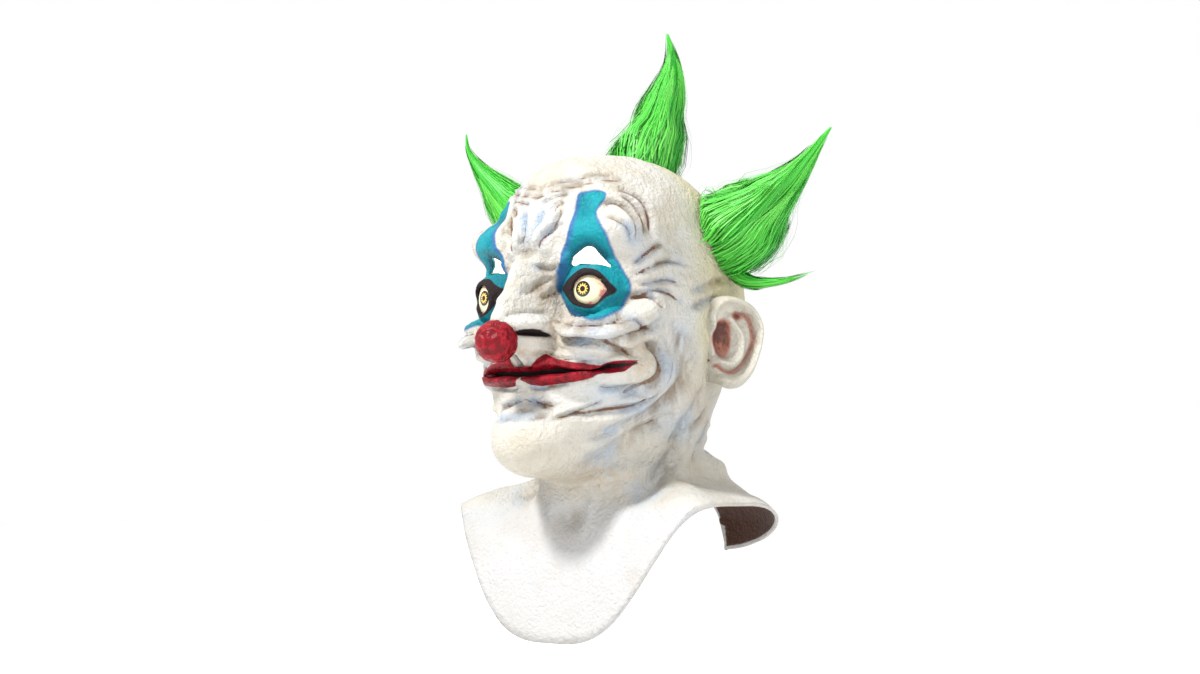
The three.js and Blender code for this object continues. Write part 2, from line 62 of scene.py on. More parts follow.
# front y, front z, side x, side y, side z, back y, back z, squareness front, back, drop
SECTIONS = np.array([
    [-0.11, 0.010, 0.00, -0.11, 0.010, -0.11, 0.010, 2.0, 2.0, 2.0],
    [-0.40, 0.000, 0.32, -0.09, 0.000, 0.24, 0.000, 2.0, 2.0, 2.0],
    [-0.645, -0.030, 0.54, -0.055, -0.030, 0.47, -0.028, 2.0, 2.0, 2.0],
    [-0.83, -0.085, 0.73, -0.02, -0.078, 0.69, -0.078, 2.15, 2.0, 2.0],
    [-0.945, -0.160, 0.875, 0.045, -0.150, 0.90, -0.148, 2.4, 2.0, 2.0],
    [-1.0, -0.255, 0.96, 0.13, -0.245, 1.10, -0.246, 2.8, 2.0, 2.0],
    [-1.01, -0.360, 1.00, 0.20, -0.350, 1.22, -0.352, 3.2, 2.1, 2.0],
    [-1.01, -0.475, 1.00, 0.235, -0.465, 1.245, -0.458, 3.3, 2.1, 2.0],
    [-1.03, -0.590, 0.97, 0.235, -0.570, 1.18, -0.556, 3.3, 2.1, 2.0],
    [-1.06, -0.700, 0.92, 0.22, -0.670, 1.045, -0.644, 3.1, 2.0, 2.0],
    [-1.08, -0.795, 0.865, 0.18, -0.755, 0.91, -0.725, 2.5, 2.0, 2.0],
    [-1.13, -0.887, 0.81, 0.165, -0.820, 0.835, -0.796, 2.1, 2.0, 2.0],
    [-1.05, -0.958, 0.78, 0.145, -0.870, 0.80, -0.852, 2.0, 2.0, 2.0],
    [-0.80, -0.996, 0.76, 0.135, -0.905, 0.78, -0.900, 2.0, 2.0, 2.0],
    [-0.56, -1.014, 0.75, 0.135, -0.940, 0.82, -0.947, 2.0, 2.0, 2.0],
    [-0.52, -1.053, 0.78, 0.135, -0.982, 0.91, -0.993, 2.0, 2.0, 2.6],
    [-0.545, -1.11, 0.905, 0.12, -1.018, 1.02, -1.035, 2.1, 2.0, 3.6],
    [-0.62, -1.20, 1.18, 0.08, -1.042, 1.11, -1.077, 2.5, 2.1, 5.0],
    [-0.72, -1.33, 1.42, 0.045, -1.063, 1.145, -1.14, 2.95, 2.2, 6.5],
    [-0.77, -1.50, 1.57, 0.02, -1.080, 1.09, -1.24, 3.2, 2.3, 7.6],
])


def smooth(x):
    """A soft step: 3x squared minus 2x cubed between 0 and 1, flat beyond."""
    c = np.clip(x, 0, 1)
    return c * c * (3 - 2 * c)


def bump(d):
    """A round swelling: (1 - d squared) squared inside 1, nothing beyond."""
    return np.where(d < 1, (1 - np.minimum(d, 1) ** 2) ** 2, 0)


def catmull(table, t):
    """A smooth curve through the rows of a table, read at the row number t, of any shape."""
    rows = np.asarray(table, float)
    last = len(rows) - 1
    i = np.clip(np.floor(t).astype(int), 0, last - 1)
    f = (t - i)[..., None]
    b, c = rows[i], rows[i + 1]
    a = np.where((i == 0)[..., None], 2 * b - c, rows[np.maximum(i - 1, 0)])
    d = np.where((i == last - 1)[..., None], 2 * c - b, rows[np.minimum(i + 2, last)])
    return 0.5 * (2 * b + (c - a) * f + (2 * a - 5 * b + 4 * c - d) * f ** 2
                  + (3 * b - a - 3 * c + d) * f ** 3)


def loft(u, t):
    """Point at angle u on section t: a rounded square arc between front, side and back."""
    fy, fz, sx, sy, sz, by, bz, nf, nb, drop = np.moveaxis(catmull(SECTIONS, t), -1, 0)
    cu, su = np.cos(u), np.sin(u)
    front = cu >= 0
    n = np.where(front, nf, nb)
    r = (np.abs(cu) ** n + np.abs(su) ** n) ** (-1 / n)
    c = np.abs(cu) * r
    y = np.where(front, sy + (fy - sy) * c, sy + (by - sy) * c)
    z = np.where(front, sz + (fz - sz) * c ** drop, sz + (bz - sz) * c * c)
    return np.stack([HALF_WIDTH * sx * su * r, DEPTH * y, HEIGHT * z], -1)


def grid_normals(p):
    """Unit normals of a grid closed in its columns: the step down crossed with the step across."""
    across = np.roll(p, -1, 1) - np.roll(p, 1, 1)
    n = np.cross(np.gradient(p, axis=0), across)
    return n / (np.linalg.norm(n, axis=-1, keepdims=True) + 1e-9)


columns = np.concatenate([np.linspace(0, 1.2, 74, endpoint=False), np.linspace(1.2, np.pi, 35)])
columns = np.concatenate([-columns[-2:0:-1], columns])
rows = np.concatenate([np.linspace(0.15, 3.9, 30, endpoint=False),
                       np.linspace(3.9, 11.6, 134, endpoint=False), np.linspace(11.6, 19, 40)])
print("skin grid", len(rows), "rows by", len(columns), "columns")

# %% [markdown]
# A fold is a line in that chart. Its distance to every grid point gives a crease with raised
# lips or a round ridge, which fades out at both ends as a sculptor's tool mark does.

# %% Lines and outlines in the chart


def chart_line(points, steps=5):
    """A smooth line through chart points, in mm: angle times half width, share times height."""
    p = np.array(points, float) * [HALF_WIDTH, HEIGHT]
    if len(p) < 3:
        return p
    return catmull(p, np.linspace(0, len(p) - 1, (len(p) - 1) * steps + 1))


def line_distance(s, z, line):
    """Distance to the nearest stretch of the line, and the length of line passed by there."""
    best = np.full(s.shape, 1e9)
    passed = np.zeros(s.shape)
    start = 0.0
    for (ax, az), (bx, bz) in zip(line[:-1], line[1:]):
        dx, dz = bx - ax, bz - az
        size = np.hypot(dx, dz)
        q = np.clip(((s - ax) * dx + (z - az) * dz) / (size * size + 1e-9), 0, 1)
        d = np.hypot(s - ax - q * dx, z - az - q * dz)
        passed = np.where(d < best, start + q * size, passed)
        best = np.minimum(best, d)
        start += size
    return best, passed, start


def inside_distance(s, z, outline):
    """Signed distance to a closed outline, positive inside: even-odd crossings give the sign."""
    ring = np.vstack([outline, outline[:1]])
    odd = np.zeros(s.shape, bool)
    for (ax, az), (bx, bz) in zip(ring[:-1], ring[1:]):
        crosses = (az > z) != (bz > z)
        odd ^= crosses & (s < (bx - ax) * (z - az) / (bz - az + 1e-12) + ax)
    return line_distance(s, z, ring)[0] * np.where(odd, 1, -1)


def closed_outline(points, steps=5):
    """A smooth closed outline through chart points, in mm."""
    p = np.array(points, float) * [HALF_WIDTH, HEIGHT]
    p = np.vstack([p[-1:], p, p[:2]])
    return catmull(p, np.linspace(1, len(p) - 2, (len(p) - 3) * steps + 1))[:-1]


# Openings and painted outlines on one side of the face.
LID = [(0.475, -0.453), (0.500, -0.428), (0.565, -0.409), (0.66, -0.408), (0.735, -0.428),
       (0.77, -0.457), (0.725, -0.484), (0.65, -0.500), (0.57, -0.499), (0.500, -0.481)]
SLOT = [(0.38, -0.379), (0.42, -0.358), (0.46, -0.341), (0.51, -0.329), (0.57, -0.321),
        (0.62, -0.327), (0.66, -0.347), (0.70, -0.366), (0.735, -0.385), (0.67, -0.375),
        (0.60, -0.371), (0.49, -0.372)]
ALMOND = [(0.29, -0.437), (0.36, -0.428), (0.43, -0.413), (0.51, -0.392), (0.61, -0.388),
          (0.68, -0.399), (0.73, -0.415), (0.765, -0.434), (0.795, -0.457), (0.755, -0.477),
          (0.70, -0.493), (0.61, -0.508), (0.54, -0.503), (0.46, -0.486), (0.37, -0.456)]
BLUE = [(0.48, -0.158), (0.46, -0.201), (0.45, -0.245), (0.42, -0.290), (0.35, -0.330),
        (0.32, -0.368), (0.28, -0.393), (0.25, -0.430), (0.27, -0.459), (0.33, -0.493),
        (0.44, -0.524), (0.56, -0.548), (0.65, -0.553), (0.72, -0.540), (0.78, -0.518),
        (0.82, -0.495), (0.85, -0.460), (0.855, -0.430), (0.82, -0.401), (0.79, -0.373),
        (0.74, -0.332), (0.70, -0.296), (0.67, -0.265), (0.65, -0.214), (0.72, -0.177),
        (0.73, -0.153), (0.65, -0.144), (0.54, -0.147)]
LIPS = [(0.0, -0.669), (0.08, -0.669), (0.15, -0.656), (0.20, -0.645), (0.24, -0.637),
        (0.29, -0.646), (0.39, -0.656), (0.51, -0.662), (0.60, -0.663), (0.71, -0.667),
        (0.81, -0.661), (0.94, -0.655), (0.87, -0.688), (0.79, -0.702), (0.66, -0.715),
        (0.53, -0.724), (0.38, -0.730), (0.23, -0.734), (0.10, -0.730), (0.03, -0.716),
        (0.0, -0.704)]
SLIT = [(-0.15, -0.694), (0.10, -0.695), (0.23, -0.692), (0.38, -0.690), (0.52, -0.693),
        (0.64, -0.690), (0.73, -0.684), (0.82, -0.676), (0.92, -0.664)]

# Soft mounds and hollows: angle, height share, radius along, radius up, tilt in degrees,
# rise as a share of the half width. The first rows are the main forms.
MOUNDS = [
    (0.66, -0.275, 0.44, 0.085, 0, 0.110),
    (0.95, -0.400, 0.26, 0.110, 0, 0.040),
    (0.70, -0.565, 0.46, 0.085, 0, 0.190),
    (1.00, -0.500, 0.22, 0.060, 0, 0.080),
    (0.56, -0.345, 0.20, 0.050, 0, -0.115),
    (0.34, -0.440, 0.14, 0.055, 0, -0.050),
    (0.13, -0.300, 0.17, 0.075, 0, 0.085),
    (0.00, -0.675, 0.55, 0.085, 0, 0.010),
    (0.00, -0.800, 0.45, 0.035, 0, -0.035),
    (0.00, -0.900, 0.72, 0.130, 0, 0.190),
    (1.02, -0.680, 0.30, 0.080, 0, 0.100),
    (1.44, -0.630, 0.11, 0.075, -10, 0.050),
    (0.66, -0.688, 0.30, 0.030, 0, -0.050),
    (1.28, -0.330, 0.30, 0.110, 0, -0.030),
    (1.22, -0.640, 0.25, 0.120, 0, -0.040),
    (0.00, -1.120, 0.30, 0.060, 0, -0.060),
    (2.35, -0.985, 0.62, 0.085, 0, 0.150),
    (1.84, -0.590, 0.17, 0.090, 0, -0.085),
    (0.80, -0.275, 0.19, 0.085, -12, 0.085),
    (0.21, -0.325, 0.12, 0.050, 10, 0.030),
    (0.55, -0.200, 0.14, 0.070, 0, -0.030),
    (0.95, -0.512, 0.18, 0.048, 15, 0.085),
    (0.52, -0.640, 0.34, 0.030, 8, 0.035),
    (0.42, -0.560, 0.20, 0.030, 6, 0.030),
]
NOSE = np.array([
    (-0.330, 0.00, 0.16), (-0.372, 0.23, 0.19), (-0.405, 0.27, 0.20), (-0.440, 0.31, 0.21),
    (-0.485, 0.41, 0.24), (-0.535, 0.46, 0.29), (-0.580, 0.43, 0.31), (-0.615, 0.36, 0.27),
    (-0.645, 0.14, 0.22), (-0.672, 0.00, 0.18),
])
print("eye opening", np.ptp(closed_outline(LID), axis=0).round(1), "mm")

# %% [markdown]
# Real wrinkles are cut with a tool: a narrow valley, two soft lips, a fading end. The list
# gives depth, half width and the share of brown wash that settled in it. A negative depth
# makes a raised roll instead.

# %% Folds of the face and neck
# depth in mm, half width in mm, brown wash from 0 to 1, points
FOLDS = [
    (2.4, 2.2, 0.5, [(0.33, -0.570), (0.47, -0.597), (0.59, -0.598), (0.71, -0.612), (0.84, -0.631),
                     (0.95, -0.655)]),
    (3.0, 2.6, 0.7, [(0.93, -0.615), (1.01, -0.609), (1.09, -0.648), (1.06, -0.703), (0.95, -0.740),
                     (0.85, -0.766)]),
    (2.2, 2.4, 0.5, [(1.20, -0.622), (1.17, -0.690), (1.10, -0.749), (1.00, -0.782), (0.81, -0.804),
                     (0.65, -0.814), (0.43, -0.821)]),
    (2.4, 2.2, 0.3, [(0.26, -0.520), (0.42, -0.550), (0.57, -0.566), (0.70, -0.560), (0.78, -0.538),
                     (0.85, -0.505)]),
    (2.2, 1.9, 0.8, [(0.84, -0.478), (0.91, -0.466), (0.98, -0.474), (1.03, -0.505)]),
    (1.2, 1.6, 0.4, [(0.71, -0.553), (0.77, -0.556), (0.84, -0.546), (0.93, -0.562), (1.02, -0.560)]),
    (1.0, 1.7, 0.3, [(0.0, -0.155), (0.25, -0.140), (0.5, -0.124), (0.75, -0.110), (1.0, -0.104)]),
    (0.9, 1.6, 0.3, [(0.05, -0.178), (0.22, -0.165), (0.42, -0.152)]),
    (0.8, 1.6, 0.2, [(0.0, -0.128), (0.30, -0.112), (0.6, -0.098), (0.9, -0.090)]),
    (1.4, 1.8, 0.6, [(0.78, -0.140), (0.93, -0.149), (1.03, -0.178), (1.04, -0.230), (1.00, -0.290)]),
    (1.3, 1.7, 0.5, [(0.80, -0.165), (0.90, -0.172), (0.97, -0.205), (0.97, -0.255), (0.94, -0.300)]),
    (1.6, 1.8, 0.3, [(0.67, -0.212), (0.75, -0.186), (0.84, -0.193), (0.89, -0.235), (0.89, -0.290),
                     (0.87, -0.340)]),
    (1.5, 1.6, 0.2, [(0.68, -0.246), (0.73, -0.248), (0.79, -0.267), (0.84, -0.292), (0.86, -0.325)]),
    (1.2, 2.4, 0.2, [(0.10, -0.190), (0.10, -0.231), (0.05, -0.273), (0.06, -0.320)]),
    (1.4, 2.3, 0.6, [(0.34, -0.190), (0.30, -0.235), (0.20, -0.288), (0.14, -0.338)]),
    (1.1, 2.2, 0.2, [(0.18, -0.290), (0.24, -0.268), (0.32, -0.257), (0.41, -0.257)]),
    (1.1, 2.2, 0.3, [(0.24, -0.215), (0.28, -0.190), (0.36, -0.178)]),
    (1.6, 1.8, 0.2, [(0.12, -0.362), (0.20, -0.385), (0.28, -0.378), (0.31, -0.350)]),
    (1.0, 1.9, 0.4, [(0.12, -0.470), (0.17, -0.432), (0.26, -0.404)]),
    (0.9, 1.8, 0.4, [(0.20, -0.480), (0.25, -0.450), (0.28, -0.430)]),
    (1.5, 1.6, 0.7, [(0.86, -0.410), (0.97, -0.385), (1.07, -0.362), (1.20, -0.352), (1.33, -0.357)]),
    (1.3, 1.6, 0.6, [(0.88, -0.440), (1.00, -0.425), (1.12, -0.412), (1.25, -0.420)]),
    (1.3, 1.6, 0.6, [(0.86, -0.380), (0.95, -0.345), (1.05, -0.315), (1.14, -0.300)]),
    (1.2, 1.6, 0.5, [(0.90, -0.460), (1.02, -0.448), (1.14, -0.455), (1.24, -0.480)]),
    (0.9, 2.2, 0.1, [(0.0, -0.835), (0.12, -0.840), (0.24, -0.832), (0.36, -0.826)]),
    (0.8, 1.9, 0.3, [(0.0, -0.772), (0.10, -0.780), (0.29, -0.790), (0.41, -0.800)]),
    (0.7, 1.6, 0.2, [(0.06, -0.768), (0.20, -0.786), (0.32, -0.806)]),
    (1.2, 1.6, 0.3, [(0.34, -0.834), (0.49, -0.823), (0.64, -0.800), (0.80, -0.770)]),
    (1.4, 1.8, 0.2, [(0.70, -0.735), (0.78, -0.742), (0.88, -0.735), (0.96, -0.715)]),
    (1.8, 2.2, 0.6, [(1.33, -0.440), (1.45, -0.418), (1.60, -0.395), (1.74, -0.388)]),
    (1.5, 2.0, 0.3, [(1.30, -0.500), (1.42, -0.470), (1.58, -0.440)]),
    (1.8, 2.4, 0.3, [(1.30, -0.560), (1.34, -0.620), (1.38, -0.680)]),
    (1.4, 2.2, 0.2, [(1.18, -0.520), (1.24, -0.580), (1.27, -0.650), (1.20, -0.740)]),
    (-3.2, 6.0, 0.1, [(0.62, -0.93), (0.80, -0.885), (1.15, -0.800), (1.45, -0.740)]),
    (2.0, 3.6, 0.4, [(0.45, -0.985), (0.75, -0.935), (1.05, -0.865), (1.35, -0.800)]),
    (2.6, 4.2, 0.2, [(1.62, -0.86), (1.30, -0.945), (0.95, -1.02), (0.55, -1.095)]),
    (-3.2, 5.5, 0.1, [(1.72, -0.88), (1.42, -0.975), (1.10, -1.045), (0.70, -1.12)]),
    (1.5, 2.6, 0.3, [(1.75, -0.780), (1.55, -0.850), (1.30, -0.905)]),
    (1.4, 2.4, 0.2, [(2.00, -0.800), (1.85, -0.880), (1.60, -0.960)]),
    (1.2, 2.2, 0.2, [(2.20, -0.860), (2.45, -0.845), (2.75, -0.850)]),
    (1.2, 2.2, 0.2, [(2.10, -0.920), (2.45, -0.900), (2.85, -0.905)]),
    (-2.6, 7.0, 0.0, [(0.30, -0.540), (0.50, -0.570), (0.70, -0.566), (0.88, -0.530), (1.00, -0.500)]),
    (2.4, 2.3, 0.4, [(0.33, -0.575), (0.50, -0.603), (0.72, -0.602), (0.92, -0.568), (1.06, -0.522)]),
    (-2.4, 6.0, 0.0, [(1.09, -0.650), (1.10, -0.710), (0.98, -0.765), (0.80, -0.800)]),
    (2.0, 3.4, 0.1, [(1.40, -0.630), (1.32, -0.720), (1.12, -0.800), (0.86, -0.862), (0.60, -0.905)]),
    (-3.4, 6.5, 0.0, [(1.27, -0.600), (1.18, -0.700), (0.98, -0.790), (0.68, -0.860)]),
    (-2.6, 6.0, 0.0, [(1.52, -0.650), (1.46, -0.760), (1.26, -0.880), (0.95, -0.970)]),
    (1.6, 3.0, 0.2, [(1.58, -0.700), (1.50, -0.800), (1.30, -0.915)]),
    (-2.4, 4.0, 0.0, [(0.30, -1.00), (0.28, -1.06), (0.24, -1.12), (0.16, -1.18)]),
    (4.6, 2.1, 0.0, SLIT),
    (-3.0, 3.6, 0.0, [(0.0, -0.681), (0.12, -0.673), (0.24, -0.662), (0.39, -0.670), (0.60, -0.675),
                     (0.78, -0.671)]),
    (-4.2, 4.4, 0.0, [(0.0, -0.716), (0.12, -0.714), (0.23, -0.716), (0.38, -0.712), (0.53, -0.707),
                     (0.68, -0.699), (0.80, -0.686)]),
    (0.9, 1.2, 0.2, [(0.08, -0.669), (0.15, -0.656), (0.24, -0.635), (0.39, -0.654), (0.60, -0.661),
                     (0.85, -0.664)]),
    (1.2, 1.5, 0.2, [(0.02, -0.712), (0.10, -0.733), (0.23, -0.738), (0.38, -0.731), (0.53, -0.722),
                     (0.66, -0.708), (0.80, -0.692)]),
    (2.2, 1.7, 0.3, [(0.0, -0.640), (0.0, -0.655), (0.0, -0.668)]),
]
# Valleys are cut this much deeper than the list says. Raised rolls keep their listed height.
FOLD_GAIN = 2.0


def fold_profile(depth, half, d):
    """A valley with two soft lips where depth is positive, a round roll where it is negative.

    Both are bell curves of the distance d, exp of minus (d / half) squared.
    """
    if depth < 0:
        return -depth * np.exp(-(d / half) ** 2) / FOLD_GAIN
    return depth * (0.45 * np.exp(-((d - 2.3 * half) / (1.4 * half)) ** 2) - np.exp(-(d / half) ** 2))


def fine_folds(a, z):
    """Sum of all folds in mm, with the wash of brown and the depth of the valleys."""
    s = a * HALF_WIDTH
    rise = np.zeros(s.shape)
    brown = np.zeros(s.shape)
    valley = np.zeros(s.shape)
    for depth, half, wash, points in FOLDS:
        line = chart_line(points)
        reach = 5 * half
        near = ((s > line[:, 0].min() - reach) & (s < line[:, 0].max() + reach)
                & (z > line[:, 1].min() - reach) & (z < line[:, 1].max() + reach))
        d, passed, length = line_distance(s[near], z[near], line)
        fade = smooth(np.minimum(passed, length - passed) / (0.22 * length) + 0.05)
        if min(p[0] for p in points) <= 0:
            fade = smooth((length - passed) / (0.22 * length) + 0.05)
        rise[near] += fold_profile(depth, 1.15 * half, d) * fade
        if depth > 0:
            line_share = np.clip(1 - d / 3.4, 0, 1) * fade ** 0.3 * (0.55 + 0.5 * wash)
            brown[near] = np.maximum(brown[near], line_share)
            valley[near] = np.maximum(valley[near], np.exp(-(d / (1.8 * half)) ** 2) * fade)
    return rise, brown, valley


def main_relief(a, z):
    """The large mounds, in mm: each is a round swelling over an ellipse turned in the chart."""
    total = np.zeros(z.shape)
    for ma, mb, ra, rb, tilt, rise in MOUNDS:
        c, s = np.cos(np.radians(tilt)), np.sin(np.radians(tilt))
        p, q = (a - ma) * HALF_WIDTH, z - mb * HEIGHT
        total += rise * bump(np.hypot((p * c + q * s) / (ra * HALF_WIDTH),
                                      (q * c - p * s) / (rb * HEIGHT)))
    return total * HALF_WIDTH


def nose_rise(x, z):
    """How far the nose stands forward: a round ridge whose height and width follow the table."""
    level = np.clip(-z / HEIGHT, -NOSE[0, 0], -NOSE[-1, 0])
    k = np.clip(np.searchsorted(-NOSE[:, 0], level, side="right") - 1, 0, len(NOSE) - 2)
    q = smooth((level + NOSE[k, 0]) / (NOSE[k, 0] - NOSE[k + 1, 0]))[..., None]
    row = NOSE[k] + (NOSE[k + 1] - NOSE[k]) * q
    return HALF_WIDTH * row[..., 1] * (1 - smooth((np.abs(x) / (row[..., 2] * HALF_WIDTH) - 0.08) / 1.1))


def over_eye(p, radius):
    """Lays the lids on a ball round the eye, fading out between 22 and 31 mm from its centre."""
    d = np.hypot(np.abs(p[..., 0]) - EYE[0], p[..., 2] - EYE[2])
    w = (1 - smooth((d - 22) / 9)) * (p[..., 1] < 0)
    ball = EYE[1] - np.sqrt(np.maximum(1, radius ** 2 - d * d))
    p[..., 1] += w * (ball - p[..., 1])
    return w


print(len(FOLDS), "folds,", len(MOUNDS), "mounds")

# %% [markdown]
# The grid is first bent in the chart so that points near an opening slide onto its outline.
# The faces inside are dropped later, and the cut edge then follows the outline exactly.

# %% Bend the grid to the openings
U, T = np.meshgrid(columns, rows)
plain = loft(U, T)
drop_per_row = np.gradient(plain[..., 2], axis=0) / np.gradient(rows)[:, None]
lid_ring, slot_ring = closed_outline(LID), closed_outline(SLOT)
NAPE_HALF, NAPE_TOP, NAPE_FOOT = 46.0, -272.0, -372.0


def nape_distance(x, z):
    """Signed distance, positive inside, to the slit at the nape: a narrow arch open at the hem."""
    share = np.clip((NAPE_TOP - z) / (NAPE_TOP - NAPE_FOOT), 0, 2)
    return (NAPE_HALF * share ** 0.8 - np.abs(x)) * 0.8


def bend(ring, reach):
    """Moves chart points within reach of the ring onto it, along the line to its nearest point."""
    s, z = np.abs(U) * HALF_WIDTH, plain[..., 2]
    near = ((s > ring[:, 0].min() - reach) & (s < ring[:, 0].max() + reach)
            & (z > ring[:, 1].min() - reach) & (z < ring[:, 1].max() + reach)
            & (np.abs(U) < np.pi / 2))
    rows_near, cols_near = np.nonzero(near)
    ps = np.stack([s[near], z[near]], -1)
    closed = np.vstack([ring, ring[:1]])
    a, b = closed[:-1], closed[1:]
    along = b - a
    q = np.clip(((ps[:, None] - a) * along).sum(-1) / (along ** 2).sum(-1), 0, 1)
    foot = a + q[..., None] * along
    gap = np.linalg.norm(foot - ps[:, None], axis=-1)
    pick = gap.argmin(1)
    best = gap[np.arange(len(ps)), pick]
    target = foot[np.arange(len(ps)), pick]
    hit = best < reach
    i, j = rows_near[hit], cols_near[hit]
    shift = target[hit] - ps[hit]
    U[i, j] += np.sign(U[i, j]) * shift[:, 0] / HALF_WIDTH
    T[i, j] += shift[:, 1] / drop_per_row[i, j]
    return len(i)


print("bent", bend(lid_ring, 1.2), "points to the lids,", bend(slot_ring, 1.2), "to the slots")

# %% Lift the skin
outer = loft(U, T)
chart_z = outer[..., 2].copy()
chart_a = np.abs(U)
relief = main_relief(chart_a, chart_z)
outer += grid_normals(outer) * relief[..., None]
nose_lift = np.where(np.cos(U) > 0, nose_rise(outer[..., 0], chart_z), 0)
outer[..., 1] -= nose_lift
relief = relief + nose_lift
lid_share = over_eye(outer, EYEBALL + LID_GAP + WALL)
coarse = outer.copy()
coarse_normals = grid_normals(coarse)


def waves(p, reach, seed, count=36):
    """Even lumps: many sine waves in random directions, each about reach long, added up."""
    rng = np.random.default_rng(seed)
    turn = rng.normal(size=(count, 3))
    turn *= 2 * np.pi / reach * rng.uniform(0.7, 1.4, (count, 1)) / np.linalg.norm(turn, axis=1)[:, None]
    return np.sin(p @ turn.T + rng.uniform(0, 2 * np.pi, count)).sum(-1) / np.sqrt(count / 2)


fine, brown, valley = fine_folds(chart_a, chart_z)
fine *= FOLD_GAIN
brown *= smooth((1.42 - chart_a) / 0.25) * smooth((chart_z + 0.90 * HEIGHT) / 20)
s_chart = chart_a * HALF_WIDTH
lid_gap = -inside_distance(s_chart, chart_z, lid_ring)
slot_gap = -inside_distance(s_chart, chart_z, slot_ring)
front = np.cos(U) > 0
lid_gap[~front] = 99
slot_gap[~front] = 99
fine += 1.3 * np.exp(-((lid_gap - 2.2) / 1.8) ** 2)
under = smooth((-0.44 * HEIGHT - chart_z) / 14)
lid_lines = np.sin(lid_gap * 1.9 + waves(outer, 25, 3))
fine += 0.32 * under * lid_lines * smooth(lid_gap / 5) * smooth((20 - lid_gap) / 5)
WING_MIDDLE = 20.0
wing_reach = np.hypot((s_chart - WING_MIDDLE) / 13.5, (chart_z + 0.553 * HEIGHT) / 10.5)
nostril_z = chart_z + 0.583 * HEIGHT + 0.028 * (s_chart - 19) ** 2 - 1.0
nostril = bump(np.hypot((s_chart - WING_MIDDLE) / 12.5, nostril_z / 4.2))
crease = np.exp(-((wing_reach - 1.08) / 0.17) ** 2) * smooth((chart_z + 0.585 * HEIGHT) / 6)
crease *= s_chart > 9
fine += np.where(front, 9.0 * bump(wing_reach) - 9.0 * nostril - 2.6 * crease, 0)
rough_skin = smooth((56 - np.hypot(s_chart - 48, chart_z + 0.41 * HEIGHT)) / 28) * front
fine += 0.28 * waves(outer, 34, 5) + 0.10 * waves(outer, 13, 6)
fine -= 0.4 * rough_skin * np.abs(waves(outer * [1, 1, 0.75], 20, 8)) * smooth(lid_gap / 6)


def blurred(level, turns):
    """The grid of heights after many small averages with the four neighbours."""
    for _ in range(turns):
        level = (level + np.roll(level, 1, 1) + np.roll(level, -1, 1)
                 + np.vstack([level[1:], level[-1:]]) + np.vstack([level[:1], level[:-1]])) / 5
    return level


# pits, and the overhang above each slot, join the valley field, which the finish darkens as painted shade.
pits = np.clip((blurred(fine, 14) - fine - 0.5) / 1.4, 0, 1)
valley = np.maximum(valley, 0.8 * pits * (lid_gap > 4) * (slot_gap > 3))
over_slot = np.exp(-(slot_gap / 4.0) ** 2) * smooth((chart_z + 0.372 * HEIGHT) / 5)
valley = np.maximum(valley, 0.85 * over_slot)
# hollow marks the broad recesses; the finish darkens them brown as painted shade.
hollow = np.clip((blurred(relief, 90) - relief - 0.6) / 4.5, 0, 1)
outer = outer + coarse_normals * fine[..., None]
inner = coarse + coarse_normals * (np.minimum(fine, 0) - WALL)[..., None]
print("skin from", outer.reshape(-1, 3).min(0).round(), "to", outer.reshape(-1, 3).max(0).round())

# %% [markdown]
# The wall is one closed mesh: the outer grid, the inner grid turned over, a cap of triangles
# at the crown, and a strip along every cut edge, found as the grid edges used only once.

# %% Close the wall


def grid_quads(count_rows, count_columns):
    """Four-sided faces of a grid closed in its columns, wound to face outward."""
    i, j = np.meshgrid(np.arange(count_rows - 1), np.arange(count_columns), indexing="ij")
    k = (j + 1) % count_columns
    quads = [i * count_columns + j, (i + 1) * count_columns + j,
             (i + 1) * count_columns + k, i * count_columns + k]
    return np.stack(quads, -1).reshape(-1, 4)


def end_fans(count_rows, count_columns):
    """Triangles that close both ends of a grid to the two points that follow it in the list."""
    ring = np.arange(count_columns)
    after = np.roll(ring, -1)
    end = np.full(count_columns, count_rows * count_columns)
    last = end - count_columns
    return (np.stack([ring, after, end], -1),
            np.stack([last + after, last + ring, end + 1], -1))


quads = grid_quads(*U.shape)
flat_outer = outer.reshape(-1, 3)
flat_lid, flat_slot = lid_gap.ravel(), slot_gap.ravel()
nape_gap = np.where(flat_outer[:, 1] > 30, -nape_distance(flat_outer[:, 0], flat_outer[:, 2]), 99)
keep = ((flat_lid[quads].mean(1) > 0) & (flat_slot[quads].mean(1) > 0)
        & (nape_gap[quads].mean(1) > 0))
quads = quads[keep]
count = len(flat_outer)


def open_edges(faces):
    """Directed edges that no other face runs the other way."""
    a = faces.ravel()
    b = np.roll(faces, -1, 1).ravel()
    lone = ~np.isin(a.astype(np.int64) * count + b, b.astype(np.int64) * count + a)
    return a[lone], b[lone]


a, b = open_edges(quads)
top = (a < len(columns)) & (b < len(columns))
rim_a, rim_b = a[~top], b[~top]
edge = np.unique(np.concatenate([rim_a, rim_b]))
edge = edge[(np.abs(nape_gap[edge]) < 7) & (flat_outer[edge, 2] > NAPE_FOOT - 40)]
share = np.clip((NAPE_TOP - flat_outer[edge, 2]) / (NAPE_TOP - NAPE_FOOT), 0, 2)
slide = NAPE_HALF * share ** 0.8 - np.abs(flat_outer[edge, 0])
flat_inner = inner.reshape(-1, 3)
for wall_points in (flat_outer, flat_inner):
    wall_points[edge, 0] += np.sign(flat_outer[edge, 0]) * slide
walls = np.stack([rim_b, rim_a, rim_a + count, rim_b + count], -1)
crown_out = catmull(SECTIONS, np.array([0.0]))[0]
crown_point = np.array([0.0, DEPTH * crown_out[0], HEIGHT * crown_out[1]])
cap = np.stack([b[top], a[top], np.full(top.sum(), 2 * count)], -1)
cap_in = np.stack([a[top] + count, b[top] + count, np.full(top.sum(), 2 * count + 1)], -1)
points = np.vstack([flat_outer, flat_inner, crown_point, crown_point - [0, 0, WALL]])
faces = [face for group in (quads, quads[:, ::-1] + count, walls, cap, cap_in)
         for face in group.tolist()]


